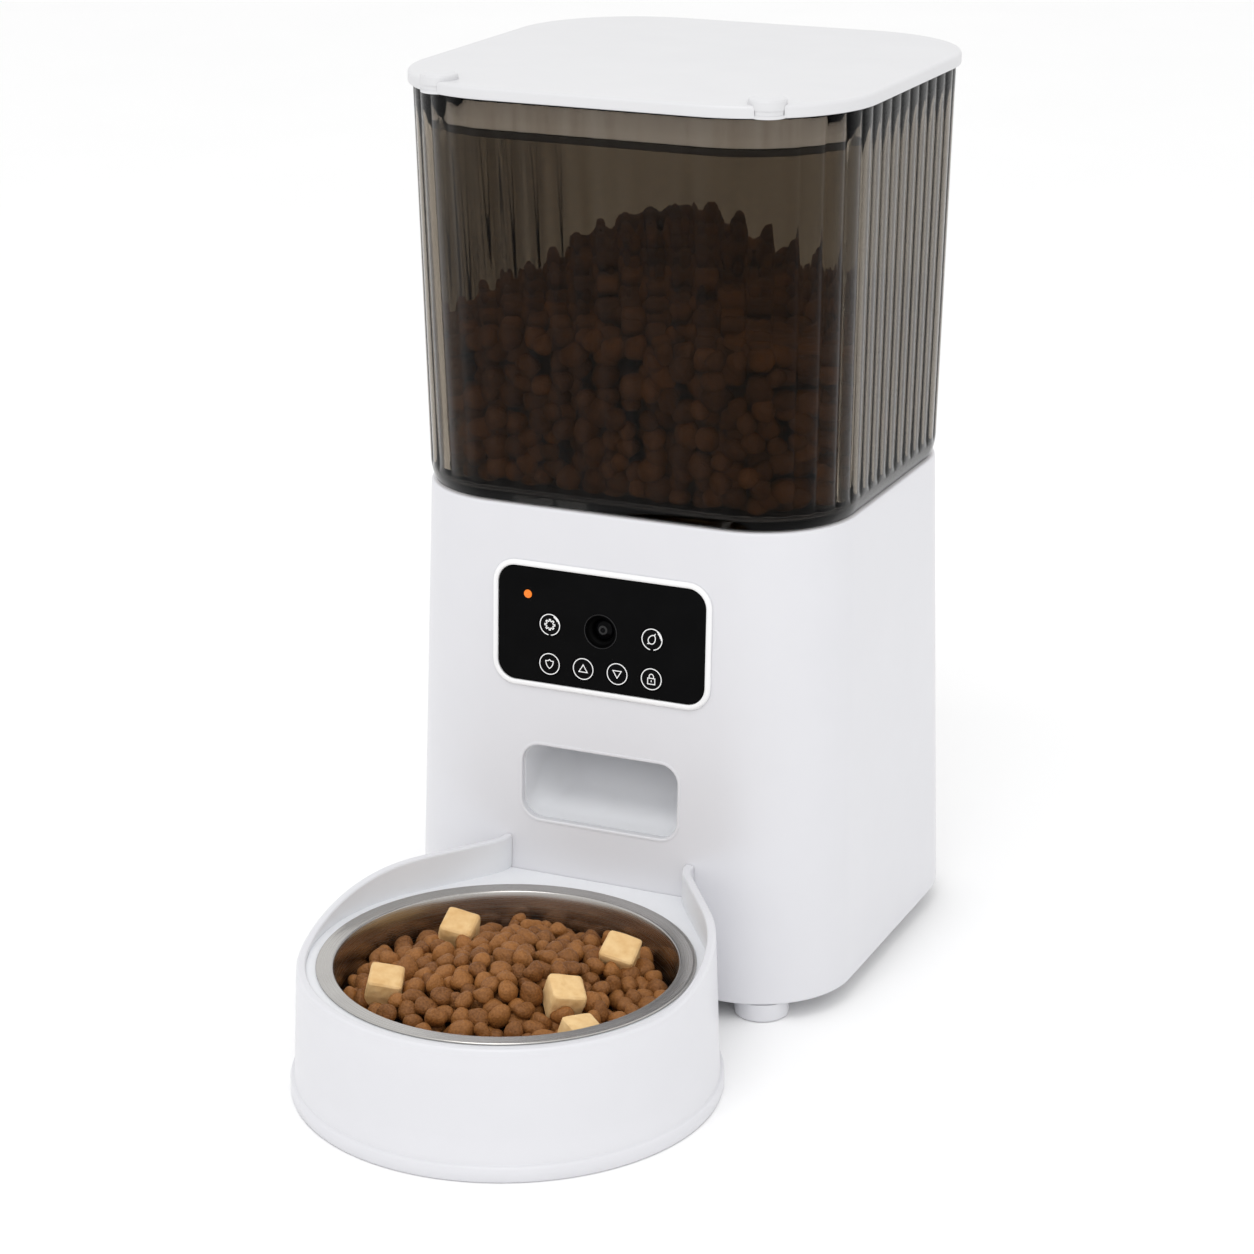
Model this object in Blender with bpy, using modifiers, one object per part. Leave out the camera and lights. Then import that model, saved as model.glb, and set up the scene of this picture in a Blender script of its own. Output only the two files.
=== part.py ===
"""Automatic pet feeder: a white body with a smoked food tank on top and a bowl holder in front.

Metres, +Z up, front towards -Y. The origin lies on the floor under the middle of the object's box.
Shapes are placed from the body's own upright axis, which the empty "feeder" carries.
"""

import math

import bmesh
import bpy

# Overall layout
BODY_Y = 0.0794  # the body's upright axis, behind the origin
GAP = 0.0003  # between pieces that touch
CORNER_STEPS = 6  # segments in a rounded corner

# Body shell: half sizes and corner radius at its foot and at its top
BODY_FOOT_Z = 0.008
BODY_TOP_Z = 0.2061
BODY_FOOT_HALF = (0.09635, 0.0924)
BODY_TOP_HALF = (0.0922, 0.0849)
BODY_CORNER = 0.041
BODY_WALL = 0.0024

# Food tank
TANK_FOOT_Z = 0.2064
TANK_TOP_Z = 0.370
TANK_TOP_HALF = (0.09515, 0.0964)
TANK_TOP_CORNER = 0.051
TANK_WALL = 0.0026
TANK_FLOOR = 0.003
THROAT_RADIUS = 0.045

# Lid
LID_Z = 0.3704
LID_THICKNESS = 0.005
LID_HALF = (0.0972, 0.0983)
LID_CORNER = 0.053
LID_EDGE = 0.0015
SKIRT_FOOT_Z = 0.358
SKIRT_WALL = 0.002
SKIRT_CLEARANCE = 0.0012
HINGE_Y = 0.0996
HINGE_Z = 0.3675
HINGE_RADIUS = 0.0026
HINGE_PIN_RADIUS = 0.0012
BUTTON_X = 0.0685
BUTTON_Y = -0.0865
BUTTON_RADIUS = 0.0074
BUTTON_TOP_Z = 0.3784
BUTTON_TRAVEL = 0.0018

# Control panel, measured in the plane of the leaning front
PANEL_Z = 0.15715
PANEL_SIZE = (0.0915, 0.0484)
PANEL_CORNER = 0.008
BEZEL_RIM = 0.0024
KEY_RADIUS = 0.00515
KEY_HOLE_RADIUS = 0.00545
KEY_PLACES = {
    "key_settings": (-0.0225, 0.0009),
    "key_feed": (0.0225, 0.0009),
    "key_mode": (-0.0225, -0.0157),
    "key_up": (-0.0075, -0.0157),
    "key_down": (0.0075, -0.0157),
    "key_lock": (0.0225, -0.0157),
}
LED_PLACE = (-0.0325, 0.01255)
LED_RADIUS = 0.00175
CAMERA_PLACE = (0.0, 0.00105)
CAMERA_RADIUS = 0.0071

# Chute
CHUTE_HALF_WIDTH = 0.0346
CHUTE_LOW_Z = 0.0741
CHUTE_HIGH_Z = 0.1059
CHUTE_CORNER = 0.008
CHUTE_WALL = 0.002

# Bowl and holder
BOWL_Y = -0.176
FLANGE_RADIUS = 0.085
FLANGE_HEIGHT = 0.0064
HOLDER_FOOT_RADIUS = 0.0833
HOLDER_TOP_RADIUS = 0.0813
HOLDER_WALL = 0.0036
DECK_Z = 0.0507
FRONT_WALL_Z = 0.0525
WING_Z = 0.0652
WING_HALF_GAP = 0.0422
WING_ANGLE = math.radians(35)
WING_FILLET = 0.020
WELL_RADIUS = 0.0705
BOWL_RADIUS = 0.074
BOWL_RIM_Z = 0.0517
BOWL_FOOT_Z = 0.012
BOWL_WALL = 0.0008

# Portion wheel and its housing
HOPPER_RADIUS = 0.055
WHEEL_RADIUS = 0.0512
WHEEL_Z = (0.1168, 0.1565)
WHEEL_VANES = 6
HOPPER_FLOOR_Z = (0.1135, 0.116)

# Gear train
MODULE = 0.001
OUTPUT_TEETH = 40
SMALL_TEETH = 12
BIG_TEETH = 36
MOTOR_TEETH = 10
IDLER_Y = MODULE * (OUTPUT_TEETH + SMALL_TEETH) / 2
MOTOR_Y = IDLER_Y + MODULE * (BIG_TEETH + MOTOR_TEETH) / 2
LOW_GEAR_Z = (0.0955, 0.1005)
HIGH_GEAR_Z = (0.1025, 0.1065)

# Underside
FOOT_RADIUS = 0.01135
FOOT_PLACE = (0.068, 0.078)
CELL_RADIUS = 0.0171
CELL_LENGTH = 0.0615
CELL_Z = 0.0298
CELL_PITCH = 0.0348
CELL_MIDDLE_Y = 0.0265
SCREW_RADIUS = 0.0016
SCREW_PLACES = [(-0.052, -0.062), (0.052, -0.062), (-0.052, 0.062), (0.052, 0.062)]
SPEAKER_PLACE = (-0.066, -0.022)
JACK_X = -0.045
JACK_Z = 0.062
JACK_NOSE_RADIUS = 0.0052
JACK_BORE_RADIUS = 0.0033

WHITE = ((0.87, 0.87, 0.89), 0.34, 0.0)
INNER_WHITE = ((0.80, 0.80, 0.82), 0.5, 0.0)
SMOKED = ((0.07, 0.055, 0.045), 0.08, 0.0)
BLACK_GLOSS = ((0.012, 0.012, 0.012), 0.12, 0.0)
BLACK = ((0.02, 0.02, 0.02), 0.6, 0.0)
RUBBER = ((0.03, 0.03, 0.03), 0.8, 0.0)
LED_ORANGE = ((1.0, 0.35, 0.02), 0.3, 0.0)
STEEL = ((0.62, 0.60, 0.58), 0.22, 1.0)
GEAR_WHITE = ((0.85, 0.84, 0.78), 0.45, 0.0)
BOARD_GREEN = ((0.02, 0.16, 0.07), 0.5, 0.0)
CELL_COLOUR = ((0.10, 0.12, 0.16), 0.35, 0.3)
VANE_COLOUR = ((0.55, 0.56, 0.58), 0.6, 0.0)

parts = bpy.data.collections.new("pet_feeder")
cutters = bpy.data.collections.new("cutters")


# ---------------------------------------------------------------- building blocks


def clear_scene():
    for thing in list(bpy.data.objects):
        bpy.data.objects.remove(thing)
    bpy.context.scene.collection.children.link(parts)
    bpy.context.scene.collection.children.link(cutters)


def finish(look):
    """The Principled material of a (colour, roughness, metallic) look, made once."""
    name = "look_" + "_".join(f"{value:.3f}" for value in (*look[0], look[1]))
    found = bpy.data.materials.get(name)
    if found:
        return found
    made = bpy.data.materials.new(name)
    made.use_nodes = True
    shader = made.node_tree.nodes["Principled BSDF"]
    shader.inputs["Base Color"].default_value = (*look[0], 1.0)
    shader.inputs["Roughness"].default_value = look[1]
    shader.inputs["Metallic"].default_value = look[2]
    return made


def empty(name, place, turn=(0.0, 0.0, 0.0), parent=None):
    made = bpy.data.objects.new(name, None)
    made.location = place
    made.rotation_euler = turn
    made.parent = parent
    parts.objects.link(made)
    return made


def add(name, mesh, look, parent, place=(0.0, 0.0, 0.0), turn=(0.0, 0.0, 0.0)):
    """A mesh as a part, or as a cutter when it has no look."""
    made = bpy.data.objects.new(name, mesh)
    made.parent = parent
    made.location = place
    made.rotation_euler = turn
    if look is None:
        made.hide_render = True
        made.display_type = "WIRE"
        cutters.objects.link(made)
    else:
        mesh.materials.append(finish(look))
        parts.objects.link(made)
    return made


def cut(target, cutter):
    change = target.modifiers.new("cut " + cutter.name, "BOOLEAN")
    change.operation = "DIFFERENCE"
    change.object = cutter


def join(target, other):
    change = target.modifiers.new("join " + other.name, "BOOLEAN")
    change.operation = "UNION"
    change.object = other


def shade_round(mesh):
    mesh.shade_smooth()
    mesh.set_sharp_from_angle(angle=math.radians(35))


def mesh_from(name, work):
    """The bmesh as a mesh with its faces pointing out."""
    bmesh.ops.recalc_face_normals(work, faces=work.faces)
    mesh = bpy.data.meshes.new(name)
    work.to_mesh(mesh)
    work.free()
    shade_round(mesh)
    return mesh


def box(name, size, centre, look, parent, turn=(0.0, 0.0, 0.0)):
    work = bmesh.new()
    bmesh.ops.create_cube(work, size=1.0)
    bmesh.ops.scale(work, vec=size, verts=work.verts)
    return add(name, mesh_from(name, work), look, parent, centre, turn)


def cylinder(name, radius, low, high, place, look, parent, turn=(0.0, 0.0, 0.0), sides=32):
    """A cylinder about its own Z axis, from low to high above place."""
    work = bmesh.new()
    bmesh.ops.create_cone(
        work, cap_ends=True, segments=sides, radius1=radius, radius2=radius, depth=high - low
    )
    bmesh.ops.translate(work, vec=(0, 0, (high + low) / 2), verts=work.verts)
    return add(name, mesh_from(name, work), look, parent, place, turn)


def turned(name, profile, look, parent, place=(0.0, 0.0, 0.0), turn=(0.0, 0.0, 0.0), steps=32):
    """A turned shape. Its profile of (radius, height) points runs down the outer side; a profile
    that starts and ends on the axis is solid, any other one is closed into a ring."""
    solid = profile[0][0] == 0 and profile[-1][0] == 0
    count = len(profile)
    edges = [(i, i + 1) for i in range(count - 1)] + ([] if solid else [(count - 1, 0)])
    mesh = bpy.data.meshes.new(name)
    mesh.from_pydata([(radius, 0, height) for radius, height in profile], edges, [])
    made = add(name, mesh, look, parent, place, turn)
    screw = made.modifiers.new("turn", "SCREW")
    screw.steps = steps
    screw.render_steps = steps
    screw.use_merge_vertices = True
    screw.merge_threshold = 0.00001
    screw.use_smooth_shade = True
    return made


def arc(centre, radius, start, end, steps):
    """Points along an arc in the XY plane, angles in radians."""
    angles = [start + (end - start) * i / steps for i in range(steps + 1)]
    return [(centre[0] + radius * math.cos(a), centre[1] + radius * math.sin(a)) for a in angles]


def rounded(half_x, half_y, radius, steps=CORNER_STEPS, middle=(0.0, 0.0)):
    """A rounded rectangle's outline, anticlockwise from its right side."""
    points = []
    for quarter, (side_x, side_y) in enumerate(((1, 1), (-1, 1), (-1, -1), (1, -1))):
        centre = (middle[0] + side_x * (half_x - radius), middle[1] + side_y * (half_y - radius))
        start = quarter * math.pi / 2
        points += arc(centre, radius, start, start + math.pi / 2, steps)
    return points


def at_height(outline, height):
    return [(x, y, height) for x, y in outline]


def loft(name, loops, look, parent, ring=False):
    """A skin over loops that match point for point: capped at both ends, or a closed ring."""
    work = bmesh.new()
    rows = [[work.verts.new(point) for point in loop] for loop in loops]
    pairs = list(zip(rows, rows[1:])) + ([(rows[-1], rows[0])] if ring else [])
    for lower, upper in pairs:
        for i in range(len(lower)):
            after = (i + 1) % len(lower)
            work.faces.new((lower[i], lower[after], upper[after], upper[i]))
    if not ring:
        work.faces.new(rows[0])
        work.faces.new(rows[-1])
    return add(name, mesh_from(name, work), look, parent)


def plate(name, outlines, low, high, look, parent, place=(0.0, 0.0, 0.0), turn=(0.0, 0.0, 0.0)):
    """A flat outline, with the further outlines as its holes, from low to high on its own Z."""
    curve = bpy.data.curves.new(name, "CURVE")
    curve.dimensions = "2D"
    curve.fill_mode = "BOTH"
    curve.extrude = (high - low) / 2
    for outline in outlines:
        spline = curve.splines.new("POLY")
        spline.points.add(len(outline) - 1)
        for point, (x, y) in zip(spline.points, outline):
            point.co = (x, y, 0, 1)
        spline.use_cyclic_u = True
    drawn = bpy.data.objects.new(name, curve)
    bpy.context.scene.collection.objects.link(drawn)
    graph = bpy.context.evaluated_depsgraph_get()
    mesh = bpy.data.meshes.new_from_object(drawn.evaluated_get(graph))
    bpy.data.objects.remove(drawn)
    work = bmesh.new()
    work.from_mesh(mesh)
    bpy.data.meshes.remove(mesh)
    bmesh.ops.remove_doubles(work, verts=work.verts, dist=0.000002)
    bmesh.ops.translate(work, vec=(0, 0, (high + low) / 2), verts=work.verts)
    return add(name, mesh_from(name, work), look, parent, place, turn)


def circle(radius, steps=32, middle=(0.0, 0.0)):
    return arc(middle, radius, 0.0, 2 * math.pi, steps)[:-1]


def between(low, high, share):
    return low + (high - low) * share


# ---------------------------------------------------------------- body


def body_outline(height, inset=0.0):
    """The body shell's outline at a height, drawn in by inset."""
    share = (height - BODY_FOOT_Z) / (BODY_TOP_Z - BODY_FOOT_Z)
    half_x = between(BODY_FOOT_HALF[0], BODY_TOP_HALF[0], share) - inset
    half_y = between(BODY_FOOT_HALF[1], BODY_TOP_HALF[1], share) - inset
    return rounded(half_x, half_y, BODY_CORNER - inset)


def front_y(height):
    """How far forward the leaning front face is at a height."""
    share = (height - BODY_FOOT_Z) / (BODY_TOP_Z - BODY_FOOT_Z)
    return -between(BODY_FOOT_HALF[1], BODY_TOP_HALF[1], share)


def front_lean():
    return math.atan2(BODY_FOOT_HALF[1] - BODY_TOP_HALF[1], BODY_TOP_Z - BODY_FOOT_Z)


def make_outer_shell(feeder, face):
    loops = [
        at_height(body_outline(BODY_FOOT_Z), BODY_FOOT_Z),
        at_height(body_outline(BODY_TOP_Z), BODY_TOP_Z),
        at_height(body_outline(BODY_TOP_Z, BODY_WALL), BODY_TOP_Z),
        at_height(body_outline(BODY_FOOT_Z, BODY_WALL), BODY_FOOT_Z),
    ]
    shell = loft("outer_shell", loops, WHITE, feeder, ring=True)
    through = 0.012
    size = (PANEL_SIZE[0] / 2 + 0.00135, PANEL_SIZE[1] / 2 + 0.00135)
    window = plate(
        "panel_window", [rounded(*size, PANEL_CORNER + 0.0012)], -through, through, None, face
    )
    cut(shell, window)
    half_height = (CHUTE_HIGH_Z - CHUTE_LOW_Z) / 2
    mouth = plate(
        "chute_window", [rounded(CHUTE_HALF_WIDTH, half_height, CHUTE_CORNER)], -through, through,
        None, feeder, (0, front_y(0.09), CHUTE_LOW_Z + half_height), (math.pi / 2, 0, 0),
    )
    cut(shell, mouth)
    jack_hole = cylinder(
        "jack_hole", JACK_NOSE_RADIUS + GAP, -0.01, 0.01, (JACK_X, BODY_FOOT_HALF[1], JACK_Z), None,
        feeder, (math.pi / 2, 0, 0), 24,
    )
    cut(shell, jack_hole)


def make_top_deck(feeder):
    inset = BODY_WALL + GAP
    low, high = 0.1985, 0.2005
    loops = [at_height(body_outline(high, inset), z) for z in (low, high)]
    deck = loft("top_deck", loops, INNER_WHITE, feeder)
    opening = cylinder(
        "deck_opening", HOPPER_RADIUS + 0.003, low - 0.01, high + 0.01, (0, 0, 0), None, feeder
    )
    cut(deck, opening)


def make_base_plate(feeder):
    low, high = 0.0083, 0.0113
    outline = body_outline(low + 0.002, BODY_WALL + GAP)
    holes = [rounded(0.038, 0.0525, 0.004, 3, (0.0, CELL_MIDDLE_Y))]
    holes += [circle(SCREW_RADIUS + GAP, 12, place) for place in SCREW_PLACES]
    for row in range(-2, 3):
        slot_middle = (SPEAKER_PLACE[0], SPEAKER_PLACE[1] + row * 0.005)
        holes.append(rounded(0.010, 0.001, 0.00095, 2, slot_middle))
    plate("base_plate", [outline, *holes], low, high, WHITE, feeder)


def make_feet(feeder):
    names = {"front": -1, "rear": 1}
    sides = {"left": -1, "right": 1}
    for end, sign_y in names.items():
        for side, sign_x in sides.items():
            profile = [
                (0, 0.0077), (FOOT_RADIUS, 0.0077), (FOOT_RADIUS, 0.0008),
                (FOOT_RADIUS - 0.0008, 0), (0, 0),
            ]
            place = (sign_x * FOOT_PLACE[0], sign_y * FOOT_PLACE[1], 0)
            turned(f"foot_{end}_{side}", profile, WHITE, feeder, place, steps=24)


def make_screws(feeder):
    head, shank_top = 0.0029, 0.0150
    for number, (x, y) in enumerate(SCREW_PLACES, start=1):
        profile = [
            (0, shank_top), (SCREW_RADIUS, shank_top), (SCREW_RADIUS, 0.0080), (head, 0.0080),
            (head, 0.0068), (head * 0.6, 0.0062), (0, 0.0062),
        ]
        screw = turned(f"base_screw_{number}", profile, STEEL, feeder, (x, y, 0), steps=16)
        for turn in (0.0, math.pi / 2):
            slot = box(
                f"slot_{number}_{turn:.1f}", (0.0028, 0.0006, 0.0014), (x, y, 0.0062), None,
                feeder, (0, 0, turn),
            )
            cut(screw, slot)


# ---------------------------------------------------------------- control panel


def make_bezel(face):
    half = (PANEL_SIZE[0] / 2, PANEL_SIZE[1] / 2)
    inner = rounded(half[0] + GAP, half[1] + GAP, PANEL_CORNER + GAP)
    rim = rounded(half[0] + BEZEL_RIM, half[1] + BEZEL_RIM, PANEL_CORNER + BEZEL_RIM)
    collar = rounded(half[0] + 0.00105, half[1] + 0.00105, PANEL_CORNER + 0.001)
    bezel = plate("control_bezel", [rim, inner], GAP, 0.0013, WHITE, face)
    join(bezel, plate("bezel_collar", [collar, inner], -0.003, 0.0008, None, face))


def make_panel(face):
    outline = rounded(PANEL_SIZE[0] / 2, PANEL_SIZE[1] / 2, PANEL_CORNER)
    holes = [circle(KEY_HOLE_RADIUS, 16, place) for place in KEY_PLACES.values()]
    holes.append(circle(LED_RADIUS + GAP, 16, LED_PLACE))
    holes.append(circle(CAMERA_RADIUS + GAP, 24, CAMERA_PLACE))
    plate("control_panel", [outline, *holes], -0.0015, 0.0005, BLACK_GLOSS, face)


def make_keys(face):
    """Each key has a collar behind the panel that keeps it in."""
    profile = [
        (0, 0.0006), (KEY_RADIUS - 0.0003, 0.0006), (KEY_RADIUS, 0.0003), (KEY_RADIUS, -0.0021),
        (KEY_RADIUS + 0.0009, -0.0021), (KEY_RADIUS + 0.0009, -0.0031), (0.0022, -0.0031),
        (0.0022, -0.0043), (0, -0.0043),
    ]
    for name, (x, y) in KEY_PLACES.items():
        turned(name, profile, BLACK_GLOSS, face, (x, y, 0), steps=16)


def make_panel_board(face):
    outline = rounded(0.0425, 0.0215, 0.003, 3)
    hole = circle(CAMERA_RADIUS + 0.0004, 24, CAMERA_PLACE)
    plate("panel_board", [outline, hole], -0.0067, -0.0051, BOARD_GREEN, face)
    cylinder(
        "status_led", LED_RADIUS, -0.0048, 0.0007, (*LED_PLACE, 0), LED_ORANGE, face, sides=16
    )


def make_camera(face):
    barrel = [
        (CAMERA_RADIUS, -0.0001), (CAMERA_RADIUS, -0.0080), (0.0046, -0.0080), (0.0046, -0.0014),
        (0.0062, -0.0001),
    ]
    turned("camera_barrel", barrel, BLACK, face, (*CAMERA_PLACE, 0), steps=24)
    dome = [(0.0043 * math.sin(math.radians(a)), -0.0034 + 0.0016 * math.cos(math.radians(a)))
            for a in range(0, 91, 30)]
    lens = [*dome, (0.0043, -0.0076), (0, -0.0076)]
    turned("camera_lens", lens, BLACK_GLOSS, face, (*CAMERA_PLACE, 0), steps=20)
    board = rounded(0.013, 0.013, 0.002, 3, CAMERA_PLACE)
    plate("camera_board", [board], -0.0099, -0.0083, BOARD_GREEN, face)


# ---------------------------------------------------------------- food path


def side_prism(name, outline, half_width, look, parent):
    """A (y, z) outline carried along X."""
    upright = (math.pi / 2, 0, math.pi / 2)
    return plate(name, [outline], -half_width, half_width, look, parent, (0, 0, 0), upright)


def make_chute(feeder):
    """A scoop: a floor that slopes down from under the hopper's outlet to the front opening."""
    back, mouth = -0.0255, front_y(0.09) + BODY_WALL + GAP
    wall = CHUTE_WALL
    outer = [
        (mouth - 0.004, CHUTE_LOW_Z - wall), (-0.080, CHUTE_LOW_Z - wall), (-0.066, 0.0775),
        (-0.050, 0.0885), (back + wall, 0.1072), (back + wall, 0.1130), (-0.0525, 0.1130),
        (-0.060, 0.1115), (-0.070, CHUTE_HIGH_Z + wall), (mouth - 0.004, CHUTE_HIGH_Z + wall),
    ]
    inner = [
        (mouth - 0.010, CHUTE_LOW_Z), (-0.081, CHUTE_LOW_Z), (-0.067, 0.0797), (-0.051, 0.0908),
        (back, 0.1086), (back, 0.1180), (-0.0505, 0.1180), (-0.0585, 0.1092),
        (-0.069, CHUTE_HIGH_Z), (mouth - 0.010, CHUTE_HIGH_Z),
    ]
    chute = side_prism("chute", outer, CHUTE_HALF_WIDTH + wall, INNER_WHITE, feeder)
    cut(chute, side_prism("chute_channel", inner, CHUTE_HALF_WIDTH, None, feeder))
    size = 0.12
    face_y = front_y(0.09) + BODY_WALL + GAP - size / 2
    trim = box("chute_trim", (size, size, size), (0, face_y, 0.09), None, feeder, (-front_lean(), 0, 0))
    cut(chute, trim)


def make_hopper(feeder):
    """Funnel and wheel chamber under the tank, with a cover over the outlet."""
    floor_low, floor_high = HOPPER_FLOOR_Z
    radius = HOPPER_RADIUS
    profile = [
        (0.060, 0.2061), (0.060, 0.2036), (0.0572, 0.2036), (radius, 0.160), (radius, floor_low),
        (0.0052, floor_low), (0.0052, floor_high), (radius - 0.0024, floor_high),
        (radius - 0.0024, 0.160), (THROAT_RADIUS + 0.0005, 0.2061),
    ]
    hopper = turned("hopper", profile, INNER_WHITE, feeder, steps=36)
    cut(hopper, box("outlet", (0.044, 0.024, 0.02), (0, -0.038, 0.114), None, feeder))
    cover = arc((0, 0), radius - 0.001, math.radians(228), math.radians(312), 8)
    cover += arc((0, 0), 0.016, math.radians(312), math.radians(228), 3)
    join(hopper, plate("outlet_cover", [cover], 0.1592, 0.1612, None, feeder))


def make_food_wheel(feeder):
    """Hub and vanes; a hexagonal bore takes the drive shaft."""
    hub, half_vane = 0.0105, 0.0011
    outline = []
    for vane in range(WHEEL_VANES):
        angle = 2 * math.pi * vane / WHEEL_VANES
        spread = math.asin(half_vane / hub)
        tip = math.asin(half_vane / WHEEL_RADIUS)
        outline += arc((0, 0), WHEEL_RADIUS, angle - tip, angle + tip, 1)
        outline += arc((0, 0), hub, angle + spread, angle + math.pi / 3 - spread, 3)
    bore = arc((0, 0), 0.0046, math.pi / 6, math.pi * 13 / 6, 6)[:-1]
    plate("food_wheel", [outline, bore], *WHEEL_Z, VANE_COLOUR, feeder)


def make_agitator(feeder):
    low = WHEEL_Z[1] + GAP
    profile = [(0, 0.188), (0.003, 0.187), (0.0105, 0.166), (0.0105, low), (0, low)]
    agitator = turned("agitator", profile, VANE_COLOUR, feeder, steps=24)
    bar = cylinder(
        "stirring_bar", 0.0022, -0.030, 0.030, (0, 0, 0.176), None, feeder, (0, math.pi / 2, 0), 12
    )
    join(agitator, bar)


# ---------------------------------------------------------------- gear train


def gear_outline(teeth, turn=0.0):
    """Straight-flanked teeth; one tooth is centred on the angle of turn."""
    pitch_radius = MODULE * teeth / 2
    root, tip = pitch_radius - 1.15 * MODULE, pitch_radius + 0.8 * MODULE
    share = 2 * math.pi / teeth
    outline = []
    for tooth in range(teeth):
        middle = turn + tooth * share
        for radius, half in ((root, 0.31), (tip, 0.12)):
            outline.append(arc((0, 0), radius, middle - half * share, 0, 1)[0])
        for radius, half in ((tip, 0.12), (root, 0.31)):
            outline.append(arc((0, 0), radius, middle + half * share, 0, 1)[0])
    return outline


def make_gears(feeder):
    """Output gear in front, idler behind it, motor pinion last: all axes lie on one line."""
    towards_back, towards_front = math.pi / 2, -math.pi / 2
    half_space = math.pi / SMALL_TEETH
    plate(
        "output_gear", [gear_outline(OUTPUT_TEETH, towards_back), circle(0.0043, 24)],
        *LOW_GEAR_Z, GEAR_WHITE, feeder,
    )
    idler_place = (0, IDLER_Y, 0)
    idler = plate(
        "idler_gear", [gear_outline(BIG_TEETH, towards_back), circle(0.0016, 24)],
        *HIGH_GEAR_Z, GEAR_WHITE, feeder, idler_place,
    )
    small_outline = gear_outline(SMALL_TEETH, towards_front + half_space)
    small = plate(
        "idler_small", [small_outline, circle(0.0016, 24)],
        LOW_GEAR_Z[0], HIGH_GEAR_Z[0] + 0.001, None, feeder, idler_place,
    )
    join(idler, small)
    pinion = plate(
        "motor_pinion", [gear_outline(MOTOR_TEETH, towards_front + math.pi / MOTOR_TEETH)],
        HIGH_GEAR_Z[0], HIGH_GEAR_Z[1], STEEL, feeder, (0, MOTOR_Y, 0),
    )
    shaft = cylinder(
        "pinion_shaft", 0.001, 0.084, HIGH_GEAR_Z[1] - 0.001, (0, MOTOR_Y, 0), None, feeder, sides=16
    )
    join(pinion, shaft)


def make_gearbox(feeder):
    middle_y, half_y, half_x = 0.0197, 0.0421, 0.0227
    floor_low, floor_high, top, wall = 0.0920, 0.0940, 0.1088, 0.0015
    outer = rounded(half_x, half_y, 0.006, 4, (0, middle_y))
    inner = rounded(half_x - wall, half_y - wall, 0.0045, 4, (0, middle_y))
    loops = [
        at_height(outer, floor_low), at_height(outer, top), at_height(inner, top),
        at_height(inner, floor_high),
    ]
    tray = loft("gearbox_base", loops, INNER_WHITE, feeder)
    for name, radius, y in (("journal", 0.0042, 0), ("motor_nose", 0.003, MOTOR_Y)):
        cut(tray, cylinder(name, radius, 0.08, 0.10, (0, y, 0), None, feeder, sides=24))
    holes = [circle(0.0043, 24)]
    plate("gearbox_cover", [outer, *holes], top + GAP, 0.1109, INNER_WHITE, feeder)
    cylinder(
        "idler_pin", 0.0015, floor_high + GAP, top, (0, IDLER_Y, 0), STEEL, feeder, sides=24
    )
    make_drive_shaft(feeder)
    motor = [
        (0, 0.0917), (0.0028, 0.0917), (0.0028, 0.0914), (0.0118, 0.0914), (0.0118, 0.0580),
        (0.0045, 0.0580), (0.0045, 0.0555), (0, 0.0555),
    ]
    can = turned("motor", motor, STEEL, feeder, (0, MOTOR_Y, 0), steps=20)
    cut(can, cylinder("motor_bore", 0.0012, 0.08, 0.10, (0, MOTOR_Y, 0), None, feeder, sides=16))


def make_drive_shaft(feeder):
    """Round where it runs, hexagonal where it drives the wheel."""
    low, top = 0.0922, 0.1500
    shaft = cylinder("drive_shaft", 0.004, low, 0.1130, (0, 0, 0), STEEL, feeder, sides=24)
    join(shaft, cylinder("shaft_hexagon", 0.0042, 0.1120, top, (0, 0, 0), None, feeder, sides=6))


# ---------------------------------------------------------------- power and sound


def make_batteries(feeder):
    for number in range(3):
        y = CELL_MIDDLE_Y + (number - 1) * CELL_PITCH
        half = CELL_LENGTH / 2
        profile = [
            (0, half), (0.0048, half), (0.0048, half - 0.0018), (CELL_RADIUS - 0.0006, half - 0.0018),
            (CELL_RADIUS, half - 0.0026), (CELL_RADIUS, -half), (0, -half),
        ]
        turned(
            f"battery_{number + 1}", profile, CELL_COLOUR, feeder, (0, y, CELL_Z),
            (0, math.pi / 2, 0), 20,
        )
        make_battery_spring(feeder, number + 1, y)


def make_battery_spring(feeder, number, y):
    turns, per_turn, start = 2.5, 8, -CELL_LENGTH / 2 - 0.0010
    curve = bpy.data.curves.new("spring", "CURVE")
    curve.dimensions = "3D"
    curve.bevel_depth = 0.0004
    curve.bevel_resolution = 2
    curve.use_fill_caps = True
    spline = curve.splines.new("POLY")
    count = int(turns * per_turn) + 1
    spline.points.add(count - 1)
    for i, point in enumerate(spline.points):
        angle = 2 * math.pi * i / per_turn
        reach = 0.004 + 0.003 * i / (count - 1)
        x = start - 0.0032 * i / (count - 1)
        point.co = (x, reach * math.cos(angle), reach * math.sin(angle), 1)
    spring = bpy.data.objects.new(f"battery_spring_{number}", curve)
    spring.parent = feeder
    spring.location = (0, y, CELL_Z)
    curve.materials.append(finish(STEEL))
    parts.objects.link(spring)


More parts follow.
